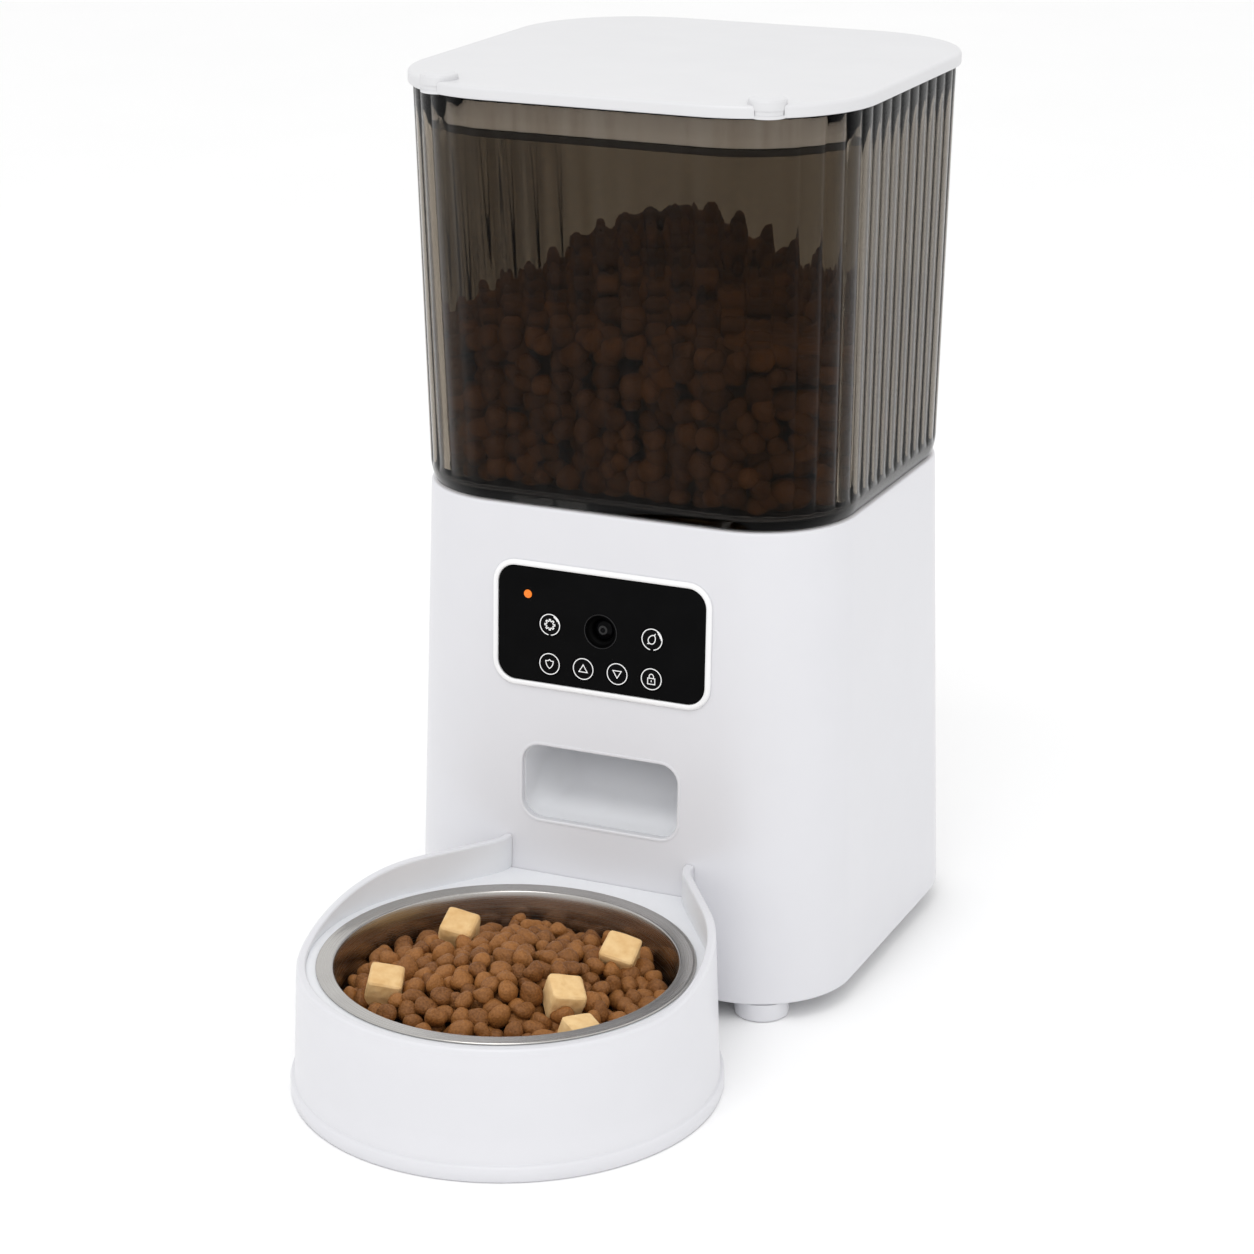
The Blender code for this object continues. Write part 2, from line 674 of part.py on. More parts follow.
def make_battery_box(feeder):
    """An upside-down tray over the cells, with the positive contact strip at its right end."""
    low, high, wall = 0.0116, 0.0492, 0.0014
    outer = rounded(0.0375, 0.0535, 0.003, 3, (0, CELL_MIDDLE_Y))
    inner = rounded(0.0375 - wall, 0.0535 - wall, 0.0017, 3, (0, CELL_MIDDLE_Y))
    loops = [
        at_height(inner, high - wall), at_height(inner, low), at_height(outer, low),
        at_height(outer, high),
    ]
    loft("battery_box", loops, BLACK, feeder)
    strip_x = CELL_LENGTH / 2 + 0.0012
    box("battery_contact", (0.0006, 0.090, 0.010), (strip_x, CELL_MIDDLE_Y, CELL_Z), STEEL, feeder)


def make_battery_door(feeder):
    low, high = 0.0053, 0.0079
    outline = rounded(0.0415, 0.0560, 0.006, 4, (0, 0))
    door = plate(
        "battery_door", [outline], low, high, WHITE, feeder, (0, CELL_MIDDLE_Y - 0.0015, 0)
    )
    grip = plate(
        "door_grip", [rounded(0.012, 0.004, 0.0035, 4, (0, -0.045))], low - 0.001, low + 0.0010,
        None, feeder, (0, CELL_MIDDLE_Y - 0.0015, 0),
    )
    cut(door, grip)


def make_electronics(feeder):
    board = box("main_board", (0.080, 0.036, 0.0016), (0, -0.060, 0.0160), BOARD_GREEN, feeder)
    chips = (
        ((0.018, 0.024, 0.0034), (-0.024, -0.060, 0.0180)),
        ((0.012, 0.012, 0.0022), (0.006, -0.064, 0.0175)),
        ((0.009, 0.007, 0.0090), (0.031, -0.052, 0.0210)),
    )
    for number, (size, place) in enumerate(chips):
        join(board, box(f"chip_{number}", size, place, None, feeder))
    speaker = [
        (0, 0.0235), (0.010, 0.0235), (0.010, 0.0190), (0.0165, 0.0150), (0.0165, 0.0120),
        (0.0150, 0.0120), (0.0060, 0.0165), (0, 0.0165),
    ]
    turned("speaker", speaker, BLACK, feeder, (*SPEAKER_PLACE, 0), steps=20)


def make_dc_jack(feeder):
    back = 0.0878
    jack = box("dc_jack", (0.012, 0.012, 0.012), (JACK_X, back - 0.0062, JACK_Z), BLACK, feeder)
    sideways = (math.pi / 2, 0, 0)
    nose = cylinder(
        "jack_nose", JACK_NOSE_RADIUS, -0.0025, 0.004, (JACK_X, back, JACK_Z), None, feeder,
        sideways, 24,
    )
    join(jack, nose)
    bore = cylinder(
        "jack_bore", JACK_BORE_RADIUS, -0.010, 0.008, (JACK_X, back, JACK_Z), None, feeder, sideways, 20
    )
    cut(jack, bore)


# ---------------------------------------------------------------- tank and lid


def tank_outline(height, inset=0.0):
    """The tank's outline at a height, drawn in by inset."""
    share = (height - TANK_FOOT_Z) / (TANK_TOP_Z - TANK_FOOT_Z)
    half_x = between(BODY_TOP_HALF[0], TANK_TOP_HALF[0], share) - inset
    half_y = between(BODY_TOP_HALF[1], TANK_TOP_HALF[1], share) - inset
    return rounded(half_x, half_y, between(BODY_CORNER, TANK_TOP_CORNER, share) - inset)


def make_food_tank(feeder):
    floor_z = TANK_FOOT_Z + TANK_FLOOR
    loops = [
        at_height(tank_outline(TANK_FOOT_Z), TANK_FOOT_Z),
        at_height(tank_outline(TANK_TOP_Z), TANK_TOP_Z),
        at_height(tank_outline(TANK_TOP_Z, TANK_WALL), TANK_TOP_Z),
        at_height(tank_outline(floor_z, TANK_WALL), floor_z),
    ]
    tank = loft("food_tank", loops, SMOKED, feeder)
    throat = cylinder(
        "throat", THROAT_RADIUS, TANK_FOOT_Z - 0.01, floor_z + 0.01, (0, 0, 0), None, feeder,
        sides=48,
    )
    cut(tank, throat)
    sideways = (0, math.pi / 2, 0)
    for name, sign in (("left", -1), ("right", 1)):
        middle = sign * 0.0175
        lug = cylinder(
            f"hinge_lug_{name}", HINGE_RADIUS, -0.0045, 0.0045, (middle, HINGE_Y, HINGE_Z), None,
            feeder, sideways, 20,
        )
        join(tank, lug)
        web = box(
            f"hinge_web_{name}", (0.009, 0.0045, 0.0050), (middle, HINGE_Y - 0.0027, HINGE_Z - 0.0001),
            None, feeder,
        )
        join(tank, web)
    bore = cylinder(
        "hinge_bore", HINGE_PIN_RADIUS + 0.0002, -0.03, 0.03, (0, HINGE_Y, HINGE_Z), None, feeder,
        sideways, 16,
    )
    cut(tank, bore)
    cylinder(
        "lid_hinge_pin", HINGE_PIN_RADIUS, -0.0218, 0.0218, (0, HINGE_Y, HINGE_Z), STEEL, feeder,
        sideways, 16,
    )


def lid_outline(inset):
    return rounded(LID_HALF[0] - inset, LID_HALF[1] - inset, LID_CORNER - inset)


def skirt_outline(inset):
    """The lid's skirt, drawn in by inset: clear of the tank's inner wall, so that the lid can swing."""
    return tank_outline(SKIRT_FOOT_Z, TANK_WALL + SKIRT_CLEARANCE + inset)


def make_lid(feeder, hinge):
    top = LID_Z + LID_THICKNESS
    loops = [
        at_height(lid_outline(LID_EDGE * 0.5), LID_Z),
        at_height(lid_outline(0), LID_Z + LID_EDGE * 0.5),
        at_height(lid_outline(0), top - LID_EDGE),
        at_height(lid_outline(LID_EDGE * 0.3), top - LID_EDGE * 0.3),
        at_height(lid_outline(LID_EDGE), top),
    ]
    lid = loft("lid", [on_hinge(loop) for loop in loops], WHITE, hinge)
    skirt = [
        at_height(skirt_outline(0), SKIRT_FOOT_Z),
        at_height(skirt_outline(0), LID_Z + 0.001),
        at_height(skirt_outline(SKIRT_WALL), LID_Z + 0.001),
        at_height(skirt_outline(SKIRT_WALL), SKIRT_FOOT_Z),
    ]
    join(lid, loft("lid_skirt", skirt, None, feeder, ring=True))
    sideways = (0, math.pi / 2, 0)
    knuckle = cylinder(
        "lid_knuckle", HINGE_RADIUS, -0.0126, 0.0126, (0, HINGE_Y, HINGE_Z), None, feeder,
        sideways, 20,
    )
    join(lid, knuckle)
    arm = box("knuckle_arm", (0.0252, 0.0046, 0.0060), (0, HINGE_Y - 0.0003, LID_Z + 0.0002), None, feeder)
    join(lid, arm)
    cut(lid, cylinder(
        "knuckle_bore", HINGE_PIN_RADIUS + 0.0002, -0.03, 0.03, (0, HINGE_Y, HINGE_Z), None,
        feeder, sideways, 16,
    ))
    for name, sign in (("left", -1), ("right", 1)):
        place = (sign * BUTTON_X, BUTTON_Y, 0)
        pocket = cylinder(
            f"button_pocket_{name}", BUTTON_RADIUS + GAP, LID_Z + 0.0012, 0.39, place, None, feeder,
            sides=36,
        )
        cut(lid, pocket)
        make_latch_button(feeder, name, place)


def on_hinge(loop):
    """Points measured from the body's axis, as seen from the lid's hinge."""
    return [(x, y - HINGE_Y, z - HINGE_Z) for x, y, z in loop]


def make_latch_button(feeder, name, place):
    foot = LID_Z + 0.0012 + BUTTON_TRAVEL + GAP
    edge = 0.0012
    profile = [
        (0, BUTTON_TOP_Z - foot), (BUTTON_RADIUS - edge, BUTTON_TOP_Z - foot),
        (BUTTON_RADIUS - edge * 0.3, BUTTON_TOP_Z - edge * 0.3 - foot),
        (BUTTON_RADIUS, BUTTON_TOP_Z - edge - foot), (BUTTON_RADIUS, 0), (0, 0),
    ]
    turned(f"latch_button_{name}", profile, WHITE, feeder, (place[0], place[1], foot), steps=28)


def make_lid_fittings(feeder):
    high = SKIRT_FOOT_Z - GAP
    low = high - 0.0028
    outer, inner = skirt_outline(-0.0003), skirt_outline(0.0034)
    loops = [
        at_height(outer, low), at_height(outer, high), at_height(inner, high), at_height(inner, low)
    ]
    loft("lid_seal", loops, RUBBER, feeder, ring=True)
    top, foot, wall = LID_Z - GAP, 0.3605, 0.0015
    box_outer = rounded(0.034, 0.024, 0.006, 4)
    box_inner = rounded(0.034 - wall, 0.024 - wall, 0.0045, 4)
    loops = [
        at_height(box_inner, top - wall), at_height(box_inner, foot), at_height(box_outer, foot),
        at_height(box_outer, top),
    ]
    loft("desiccant_box", loops, INNER_WHITE, feeder)
    slots = [rounded(0.024, 0.001, 0.00095, 2, (0, row * 0.005)) for row in range(-3, 4)]
    plate("desiccant_cover", [box_outer, *slots], foot - 0.0018, foot - GAP, INNER_WHITE, feeder)


# ---------------------------------------------------------------- bowl and holder


def holder_outline(radius, inset, back_y):
    """Round in front, with two straight wings that turn square to the body. Inset draws the wings in."""
    half_gap = WING_HALF_GAP - inset
    fillet = WING_FILLET + inset
    ahead = (-math.sin(WING_ANGLE), math.cos(WING_ANGLE))
    leave = (radius * math.cos(WING_ANGLE), BOWL_Y + radius * math.sin(WING_ANGLE))
    reach = (leave[0] - half_gap) / -ahead[0]
    tangent = fillet * math.tan(WING_ANGLE / 2)
    turn_centre = (half_gap + fillet, leave[1] + ahead[1] * reach + tangent)
    turn_end = math.pi + math.asin((turn_centre[1] - back_y) / fillet)
    right = arc(turn_centre, fillet, math.pi + WING_ANGLE, turn_end, 6)
    left = [(-x, y) for x, y in reversed(right)]
    bow = arc((0, BOWL_Y), radius, math.pi - WING_ANGLE, 2 * math.pi + WING_ANGLE, 44)
    return left + bow + right


def lifted(outline, height, back_y, lean_back_y):
    """The outline at a height, its back edge moved to follow the leaning front."""
    return [(x, lean_back_y if y >= back_y - 1e-6 else y, height) for x, y in outline]


def make_holder(feeder):
    back = front_y(BODY_FOOT_Z) - GAP
    loops = []
    for radius, inset, height in (
        (FLANGE_RADIUS - 0.0006, -0.0011, 0.0), (FLANGE_RADIUS, -0.0017, 0.0008),
        (FLANGE_RADIUS, -0.0017, FLANGE_HEIGHT - 0.001), (FLANGE_RADIUS - 0.0006, -0.0011, FLANGE_HEIGHT),
        (HOLDER_FOOT_RADIUS, 0.0, FLANGE_HEIGHT + 0.0002), (HOLDER_TOP_RADIUS, 0.0, WING_Z + 0.002),
    ):
        outline = holder_outline(radius, inset, back)
        loops.append(lifted(outline, height, back, front_y(max(height, BODY_FOOT_Z)) - GAP))
    holder = loft("bowl_holder", loops, WHITE, feeder)
    above = holder_outline(HOLDER_TOP_RADIUS - HOLDER_WALL, HOLDER_WALL, back)
    loops = [lifted(above, z, back, back + 0.02) for z in (DECK_Z, WING_Z + 0.01)]
    cut(holder, loft("above_deck", loops, None, feeder))
    under = holder_outline(HOLDER_TOP_RADIUS - 0.0026, 0.0026, back - 0.0026)
    loops = [at_height(under, z) for z in (-0.01, DECK_Z - 0.0026)]
    cut(holder, loft("under_deck", loops, None, feeder))
    cut(holder, cylinder("well", WELL_RADIUS, 0.01, 0.07, (0, BOWL_Y, 0), None, feeder, sides=72))
    cut(holder, side_prism("above_wall", wall_top_outline(), 0.12, None, feeder))


def wall_top_outline():
    """What is cut away above the wall, whose top rises smoothly from the front to the wings."""
    front, low_end, high_start = -0.275, -0.208, -0.124
    points = [(front, FRONT_WALL_Z)]
    for step in range(13):
        share = step / 12
        eased = share * share * (3 - 2 * share)
        points.append((between(low_end, high_start, share), between(FRONT_WALL_Z, WING_Z, eased)))
    return points + [(-0.075, WING_Z), (-0.075, 0.1), (front, 0.1)]


def make_bowl(feeder):
    """Pressed steel: a flat bottom, a round side and a flat rim with a rolled edge."""
    wall, rim, foot = BOWL_WALL, BOWL_RIM_Z, BOWL_FOOT_Z
    bend = (0.0535, 0.0235)  # centre of the arc between side and bottom
    bend_radius = bend[1] - foot
    inside = [(0.0676, rim), (0.0674 - wall, rim - 0.004), (0.0655 - wall, 0.030)]
    inside += arc(bend, bend_radius - wall, 0, -math.pi / 2, 3)
    outside = arc(bend, bend_radius, -math.pi / 2, 0, 3)
    outside += [(0.0655, 0.030), (0.0674, rim - 0.004), (0.0682, rim - wall)]
    rolled = [(BOWL_RADIUS, rim - 0.0006), (BOWL_RADIUS, rim - 0.0003), (BOWL_RADIUS - 0.0004, rim)]
    profile = [(0, foot), *outside, *rolled, *inside, (0, foot + wall)]
    turned("bowl", profile[::-1], STEEL, feeder, (0, BOWL_Y, 0), steps=44)


def main():
    clear_scene()
    feeder = empty("feeder", (0, BODY_Y, 0))
    lean = front_lean()
    face = empty("front_face", (0, front_y(PANEL_Z), PANEL_Z), (math.pi / 2 - lean, 0, 0), feeder)
    hinge = empty("lid_hinge", (0, HINGE_Y, HINGE_Z), parent=feeder)
    make_outer_shell(feeder, face)
    make_top_deck(feeder)
    make_base_plate(feeder)
    make_feet(feeder)
    make_screws(feeder)
    make_bezel(face)
    make_panel(face)
    make_keys(face)
    make_panel_board(face)
    make_camera(face)
    make_chute(feeder)
    make_hopper(feeder)
    make_food_wheel(feeder)
    make_agitator(feeder)
    make_gears(feeder)
    make_gearbox(feeder)
    make_batteries(feeder)
    make_battery_box(feeder)
    make_battery_door(feeder)
    make_electronics(feeder)
    make_dc_jack(feeder)
    make_food_tank(feeder)
    make_lid(feeder, hinge)
    make_lid_fittings(feeder)
    make_holder(feeder)
    make_bowl(feeder)


main()
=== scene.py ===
import math
import random

import bmesh
import bpy
import numpy as np
from mathutils import Matrix, Vector


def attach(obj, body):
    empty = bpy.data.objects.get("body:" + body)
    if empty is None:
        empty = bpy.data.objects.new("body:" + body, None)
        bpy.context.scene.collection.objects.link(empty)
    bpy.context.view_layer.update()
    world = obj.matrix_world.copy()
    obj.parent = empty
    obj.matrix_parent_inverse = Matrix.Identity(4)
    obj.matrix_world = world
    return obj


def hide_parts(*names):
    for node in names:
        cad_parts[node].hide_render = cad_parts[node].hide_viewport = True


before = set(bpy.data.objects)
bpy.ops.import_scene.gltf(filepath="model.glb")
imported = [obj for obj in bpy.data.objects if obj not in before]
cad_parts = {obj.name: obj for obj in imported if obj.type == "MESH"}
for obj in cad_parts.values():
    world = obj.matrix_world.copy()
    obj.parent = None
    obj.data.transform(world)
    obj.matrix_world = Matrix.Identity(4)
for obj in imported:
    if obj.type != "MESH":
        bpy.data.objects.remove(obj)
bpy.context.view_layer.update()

# Sizes in metres. Shapes are drawn about the body's upright axis, which is BODY_Y behind the origin.
BODY_Y = 0.0794
BODY_FOOT_Z, BODY_TOP_Z = 0.008, 0.2061
BODY_FOOT_HALF, BODY_TOP_HALF = (0.09635, 0.0924), (0.0922, 0.0849)
BODY_CORNER = 0.041
TANK_FOOT_Z, TANK_TOP_Z = 0.2064, 0.370
TANK_TOP_HALF, TANK_TOP_CORNER = (0.09515, 0.0964), 0.051
TANK_WALL = 0.0026
FLUTES = 64
FLUTE_DEPTH = 0.00085
LID_Z, LID_TOP_Z = 0.3704, 0.3754
LID_HALF, LID_CORNER = (0.0972, 0.0983), 0.053
SKIRT_FOOT_Z = 0.358
HINGE_Y, HINGE_Z, HINGE_RADIUS = 0.0996, 0.3675, 0.0026
BUTTON_PLACE, BUTTON_RADIUS, BUTTON_TOP_Z = (0.0685, -0.0865), 0.0074, 0.3784
PANEL_Z, PANEL_HALF, PANEL_CORNER, BEZEL_RIM = 0.15715, (0.04575, 0.0242), 0.008, 0.0024
KEY_RADIUS = 0.00515
KEYS = {
    "key_settings": (-0.0225, 0.0009),
    "key_feed": (0.0225, 0.0009),
    "key_mode": (-0.0225, -0.0157),
    "key_up": (-0.0075, -0.0157),
    "key_down": (0.0075, -0.0157),
    "key_lock": (0.0225, -0.0157),
}
LED_PLACE, LED_RADIUS = (-0.0325, 0.01255), 0.00175
CAMERA_PLACE, CAMERA_RADIUS = (0.0, 0.00105), 0.0071
CHUTE_HALF_WIDTH, CHUTE_LOW_Z, CHUTE_HIGH_Z, CHUTE_CORNER = 0.0346, 0.0741, 0.1059, 0.008
JACK_PLACE, JACK_RADIUS = (-0.045, BODY_FOOT_HALF[1], 0.062), 0.0055
CUT_DEPTH = 0.012  # how far cutters reach either side of the body's wall
BOWL_Y = -0.176
BOWL_RIM_Z = 0.0517
KIBBLE_RADIUS, STORED_RADIUS = 0.0047, 0.0051
# Tones of the solids under the food: painted shade in the gaps between the pieces.
BOWL_CORE_SHADE_TONE, TANK_CORE_SHADE_TONE = -0.5, 0.05


# ---------------------------------------------------------------- shapes


def between(low, high, share):
    return low + (high - low) * share


def eased(share):
    share = min(1.0, max(0.0, share))
    return share * share * (3 - 2 * share)


def arc(centre, radius, start, end, steps):
    angles = [start + (end - start) * i / steps for i in range(steps + 1)]
    return [(centre[0] + radius * math.cos(a), centre[1] + radius * math.sin(a)) for a in angles]


def circle(radius, steps):
    return arc((0.0, 0.0), radius, 0.0, 2 * math.pi, steps)[:-1]


def rounded(half_x, half_y, radius, steps=16):
    """A rounded rectangle's outline, anticlockwise from its right side."""
    points = []
    for quarter, (side_x, side_y) in enumerate(((1, 1), (-1, 1), (-1, -1), (1, -1))):
        centre = (side_x * (half_x - radius), side_y * (half_y - radius))
        start = quarter * math.pi / 2
        points += arc(centre, radius, start, start + math.pi / 2, steps)
    return points


def even_rounded(half_x, half_y, radius, count):
    """A rounded rectangle as evenly spaced points with their outward normals, as two arrays."""
    quarter = radius * math.pi / 2
    flat_x, flat_y = 2 * (half_x - radius), 2 * (half_y - radius)
    lengths = [flat_y / 2, quarter, flat_x, quarter, flat_y, quarter, flat_x, quarter, flat_y / 2]
    ends = np.cumsum(lengths)
    starts = ends - lengths
    at = np.arange(count) / count * ends[-1]
    run = np.minimum(np.searchsorted(ends, at, side="right"), 8)
    along = at - starts[run]
    points, normals = np.zeros((count, 2)), np.zeros((count, 2))
    corners = {1: (1, 1, 0.0), 3: (-1, 1, 90.0), 5: (-1, -1, 180.0), 7: (1, -1, 270.0)}
    for index, (sign_x, sign_y, first) in corners.items():
        here = run == index
        angle = math.radians(first) + along[here] / radius
        normals[here] = np.stack([np.cos(angle), np.sin(angle)], 1)
        centre = np.array([sign_x * (half_x - radius), sign_y * (half_y - radius)])
        points[here] = centre + radius * normals[here]
    straights = {
        0: ((half_x, 0.0), (0, 1), (1, 0)), 2: ((flat_x / 2, half_y), (-1, 0), (0, 1)),
        4: ((-half_x, flat_y / 2), (0, -1), (-1, 0)), 6: ((-flat_x / 2, -half_y), (1, 0), (0, -1)),
        8: ((half_x, -flat_y / 2), (0, 1), (1, 0)),
    }
    for index, (first, way, out) in straights.items():
        here = run == index
        points[here] = np.array(first) + along[here][:, None] * np.array(way)
        normals[here] = out
    return points, normals


def soften(points, radius, steps=5, ring=False):
    """The same line with each corner rounded. The radius is one number, or one for each point."""
    count = len(points)
    radii = radius if hasattr(radius, "__len__") else [radius] * count
    made = []
    for i, here in enumerate(points):
        if not ring and i in (0, count - 1):
            made.append(tuple(here))
            continue
        here = Vector(here)
        back, ahead = Vector(points[i - 1]) - here, Vector(points[(i + 1) % count]) - here
        angle = back.angle(ahead, math.pi)
        if radii[i] <= 0 or angle > math.radians(179):
            made.append(tuple(here))
            continue
        reach = min(radii[i] / math.tan(angle / 2), back.length * 0.49, ahead.length * 0.49)
        first, last = here + back.normalized() * reach, here + ahead.normalized() * reach
        for step in range(steps + 1):
            share = step / steps
            bend = first.lerp(here, share).lerp(here.lerp(last, share), share)
            made.append(tuple(bend))
    return made


def linked(name, mesh):
    made = bpy.data.objects.new(name, mesh)
    bpy.context.scene.collection.objects.link(made)
    return made


def mesh_object(name, points, faces, material, matrix=None, sharp=35.0):
    mesh = bpy.data.meshes.new(name)
    mesh.from_pydata([tuple(p) for p in points], [], faces)
    work = bmesh.new()
    work.from_mesh(mesh)
    bmesh.ops.recalc_face_normals(work, faces=work.faces)
    work.to_mesh(mesh)
    work.free()
    if matrix is not None:
        mesh.transform(matrix)
    mesh.shade_smooth()
    mesh.set_sharp_from_angle(angle=math.radians(sharp))
    if material:
        mesh.materials.append(material)
    return linked(name, mesh)


def loft(name, loops, material, ring=False, matrix=None, sharp=35.0, strip=False):
    """A skin over loops that match point for point: capped at both ends, or a closed ring.
    A strip's loops are open lines, and the ring of them is closed at each end of the lines."""
    count = len(loops[0])
    points = [p for loop in loops for p in loop]
    pairs = [(i, i + 1) for i in range(len(loops) - 1)] + ([(len(loops) - 1, 0)] if ring else [])
    faces = []
    for low, high in pairs:
        a, b = low * count, high * count
        faces += [(a + i, a + (i + 1) % count, b + (i + 1) % count, b + i)
                  for i in range(count - strip)]
    if strip:
        faces.append(tuple(i * count for i in range(len(loops)))[::-1])
        faces.append(tuple(i * count + count - 1 for i in range(len(loops))))
    if not ring:
        faces.append(tuple(range(count))[::-1])
        faces.append(tuple((len(loops) - 1) * count + i for i in range(count)))
    return mesh_object(name, points, faces, material, matrix, sharp)


def turned(name, profile, material, matrix=None, steps=96, sharp=35.0, closed=False):
    """A turned shape. Its profile of (radius, height) points may start and end on the axis."""
    points, rows = [], []
    angles = [2 * math.pi * i / steps for i in range(steps)]
    for radius, height in profile:
        if radius < 1e-9:
            rows.append([len(points)] * steps)
            points.append((0.0, 0.0, height))
        else:
            rows.append(list(range(len(points), len(points) + steps)))
            points += [(radius * math.cos(a), radius * math.sin(a), height) for a in angles]
    faces = []
    pairs = list(zip(rows, rows[1:])) + ([(rows[-1], rows[0])] if closed else [])
    for low, high in pairs:
        for i in range(steps):
            j = (i + 1) % steps
            face = list(dict.fromkeys((low[i], low[j], high[j], high[i])))
            if len(face) > 2:
                faces.append(tuple(face))
    return mesh_object(name, points, faces, material, matrix, sharp)


def at(x, y, z):
    """A place measured from the body's axis."""
    return Matrix.Translation((x, BODY_Y + y, z))


def lifted(outline, height):
    return [(x, y + BODY_Y, height) for x, y in outline]


def boolean(target, tool, operation="DIFFERENCE"):
    modifier = target.modifiers.new("cut", "BOOLEAN")
    modifier.operation = operation
    modifier.solver = "EXACT"
    modifier.object = tool
    graph = bpy.context.evaluated_depsgraph_get()
    mesh = bpy.data.meshes.new_from_object(target.evaluated_get(graph))
    target.modifiers.clear()
    target.data = mesh
    bpy.data.objects.remove(tool)
    mesh.shade_smooth()
    mesh.set_sharp_from_angle(angle=math.radians(35))
    return target


def prism(name, outline, low, high, matrix=None, material=None):
    return loft(name, [[(x, y, z) for x, y in outline] for z in (low, high)], material, matrix=matrix)


def stroke(name, paths, width, low, high, material, matrix):
    """Lines of one width raised from a face. Each path is (points, closed)."""
    work = bmesh.new()
    for path, closed in paths:
        count = len(path)
        rows = []
        for i, here in enumerate(path):
            here = Vector(here)
            back = Vector(path[i - 1]) if closed or i else here
            ahead = Vector(path[(i + 1) % count]) if closed or i < count - 1 else here
            one = (here - back).normalized() if (here - back).length > 1e-9 else None
            two = (ahead - here).normalized() if (ahead - here).length > 1e-9 else None
            way = ((one or two) + (two or one)).normalized()
            side = Vector((-way.y, way.x))
            lean = max(0.5, side.dot(Vector((-(one or two).y, (one or two).x))))
            side *= width / 2 / lean
            corners = [here + side, here - side]
            rows.append([work.verts.new((c.x, c.y, z)) for z in (low, high) for c in corners])
        pairs = list(zip(rows, rows[1:])) + ([(rows[-1], rows[0])] if closed else [])
        for a, b in pairs:
            for p, q in ((0, 1), (1, 3), (3, 2), (2, 0)):
                work.faces.new((a[p], a[q], b[q], b[p]))
        if not closed:
            for row in (rows[0], rows[-1]):
                work.faces.new((row[0], row[1], row[3], row[2]))
    bmesh.ops.recalc_face_normals(work, faces=work.faces)
    mesh = bpy.data.meshes.new(name)
    work.to_mesh(mesh)
    work.free()
    mesh.transform(matrix)
    mesh.materials.append(material)
    return linked(name, mesh)


def front_y(height):
    share = (height - BODY_FOOT_Z) / (BODY_TOP_Z - BODY_FOOT_Z)
    return -between(BODY_FOOT_HALF[1], BODY_TOP_HALF[1], share)


LEAN = math.atan2(BODY_FOOT_HALF[1] - BODY_TOP_HALF[1], BODY_TOP_Z - BODY_FOOT_Z)
SIDEWAYS = Matrix.Rotation(math.pi / 2, 4, "Y")


def front_frame(height):
    """A frame on the body's leaning front: X to the right, Y up along it and Z out of it."""
    return at(0, front_y(height), height) @ Matrix.Rotation(math.pi / 2 - LEAN, 4, "X")


FACE = front_frame(PANEL_Z)


def on_face(x, y):
    return FACE @ Matrix.Translation((x, y, 0.0))


def inset_loops(size, profile, steps):
    """Rounded rectangles of (half width, half height, corner), one for each (inset, z) of the profile."""
    return [
        [(x, y, z) for x, y in rounded(*(length - inset for length in size), steps)]
        for inset, z in profile
    ]


# ---------------------------------------------------------------- materials


class Nodes:
    """Short ways to add and join the nodes of one material."""

    def __init__(self, name):
        self.material = bpy.data.materials.new(name)
        self.material.use_nodes = True
        self.tree = self.material.node_tree
        self.tree.nodes.clear()
        self.output = self.tree.nodes.new("ShaderNodeOutputMaterial")
        self.place = self.tree.nodes.new("ShaderNodeTexCoord").outputs["Object"]

    def add(self, kind, **settings):
        node = self.tree.nodes.new(kind)
        for key, value in settings.items():
            if hasattr(node, key):
                setattr(node, key, value)
            else:
                node.inputs[key.replace("_", " ")].default_value = value
        return node

    def link(self, source, target):
        self.tree.links.new(source, target)

    def noise(self, scale, detail=3.0, stretch=None):
        node = self.add("ShaderNodeTexNoise", Scale=scale, Detail=detail)
        source = self.place
        if stretch:
            mapping = self.add("ShaderNodeMapping")
            mapping.inputs["Scale"].default_value = stretch
            self.link(source, mapping.inputs["Vector"])
            source = mapping.outputs["Vector"]
        self.link(source, node.inputs["Vector"])
        return node.outputs["Fac"]

    def spread(self, value, low, high, from_low=0.3, from_high=0.7):
        node = self.add("ShaderNodeMapRange")
        for key, number in (
            ("From Min", from_low), ("From Max", from_high), ("To Min", low), ("To Max", high)
        ):
            node.inputs[key].default_value = number
        self.link(value, node.inputs["Value"])
        return node.outputs["Result"]

    def ramp(self, value, stops):
        node = self.add("ShaderNodeValToRGB")
        band = node.color_ramp
        while len(band.elements) < len(stops):
            band.elements.new(0.5)
        for element, (position, colour) in zip(band.elements, stops):
            element.position = position
            element.color = (*colour, 1)
        self.link(value, node.inputs["Fac"])
        return node.outputs["Color"]

    def bump(self, value, distance, before=None):
        node = self.add("ShaderNodeBump", Strength=1.0, Distance=distance)
        self.link(value, node.inputs["Height"])
        if before:
            self.link(before, node.inputs["Normal"])
        return node.outputs["Normal"]

    def principled(self, **settings):
        node = self.add("ShaderNodeBsdfPrincipled")
        for key, value in settings.items():
            node.inputs[key.replace("_", " ")].default_value = value
        return node

    def done(self, shader):
        self.link(shader, self.output.inputs["Surface"])
        return self.material


def scaled(colour, by):
    return tuple(min(1.0, c * by) for c in colour)


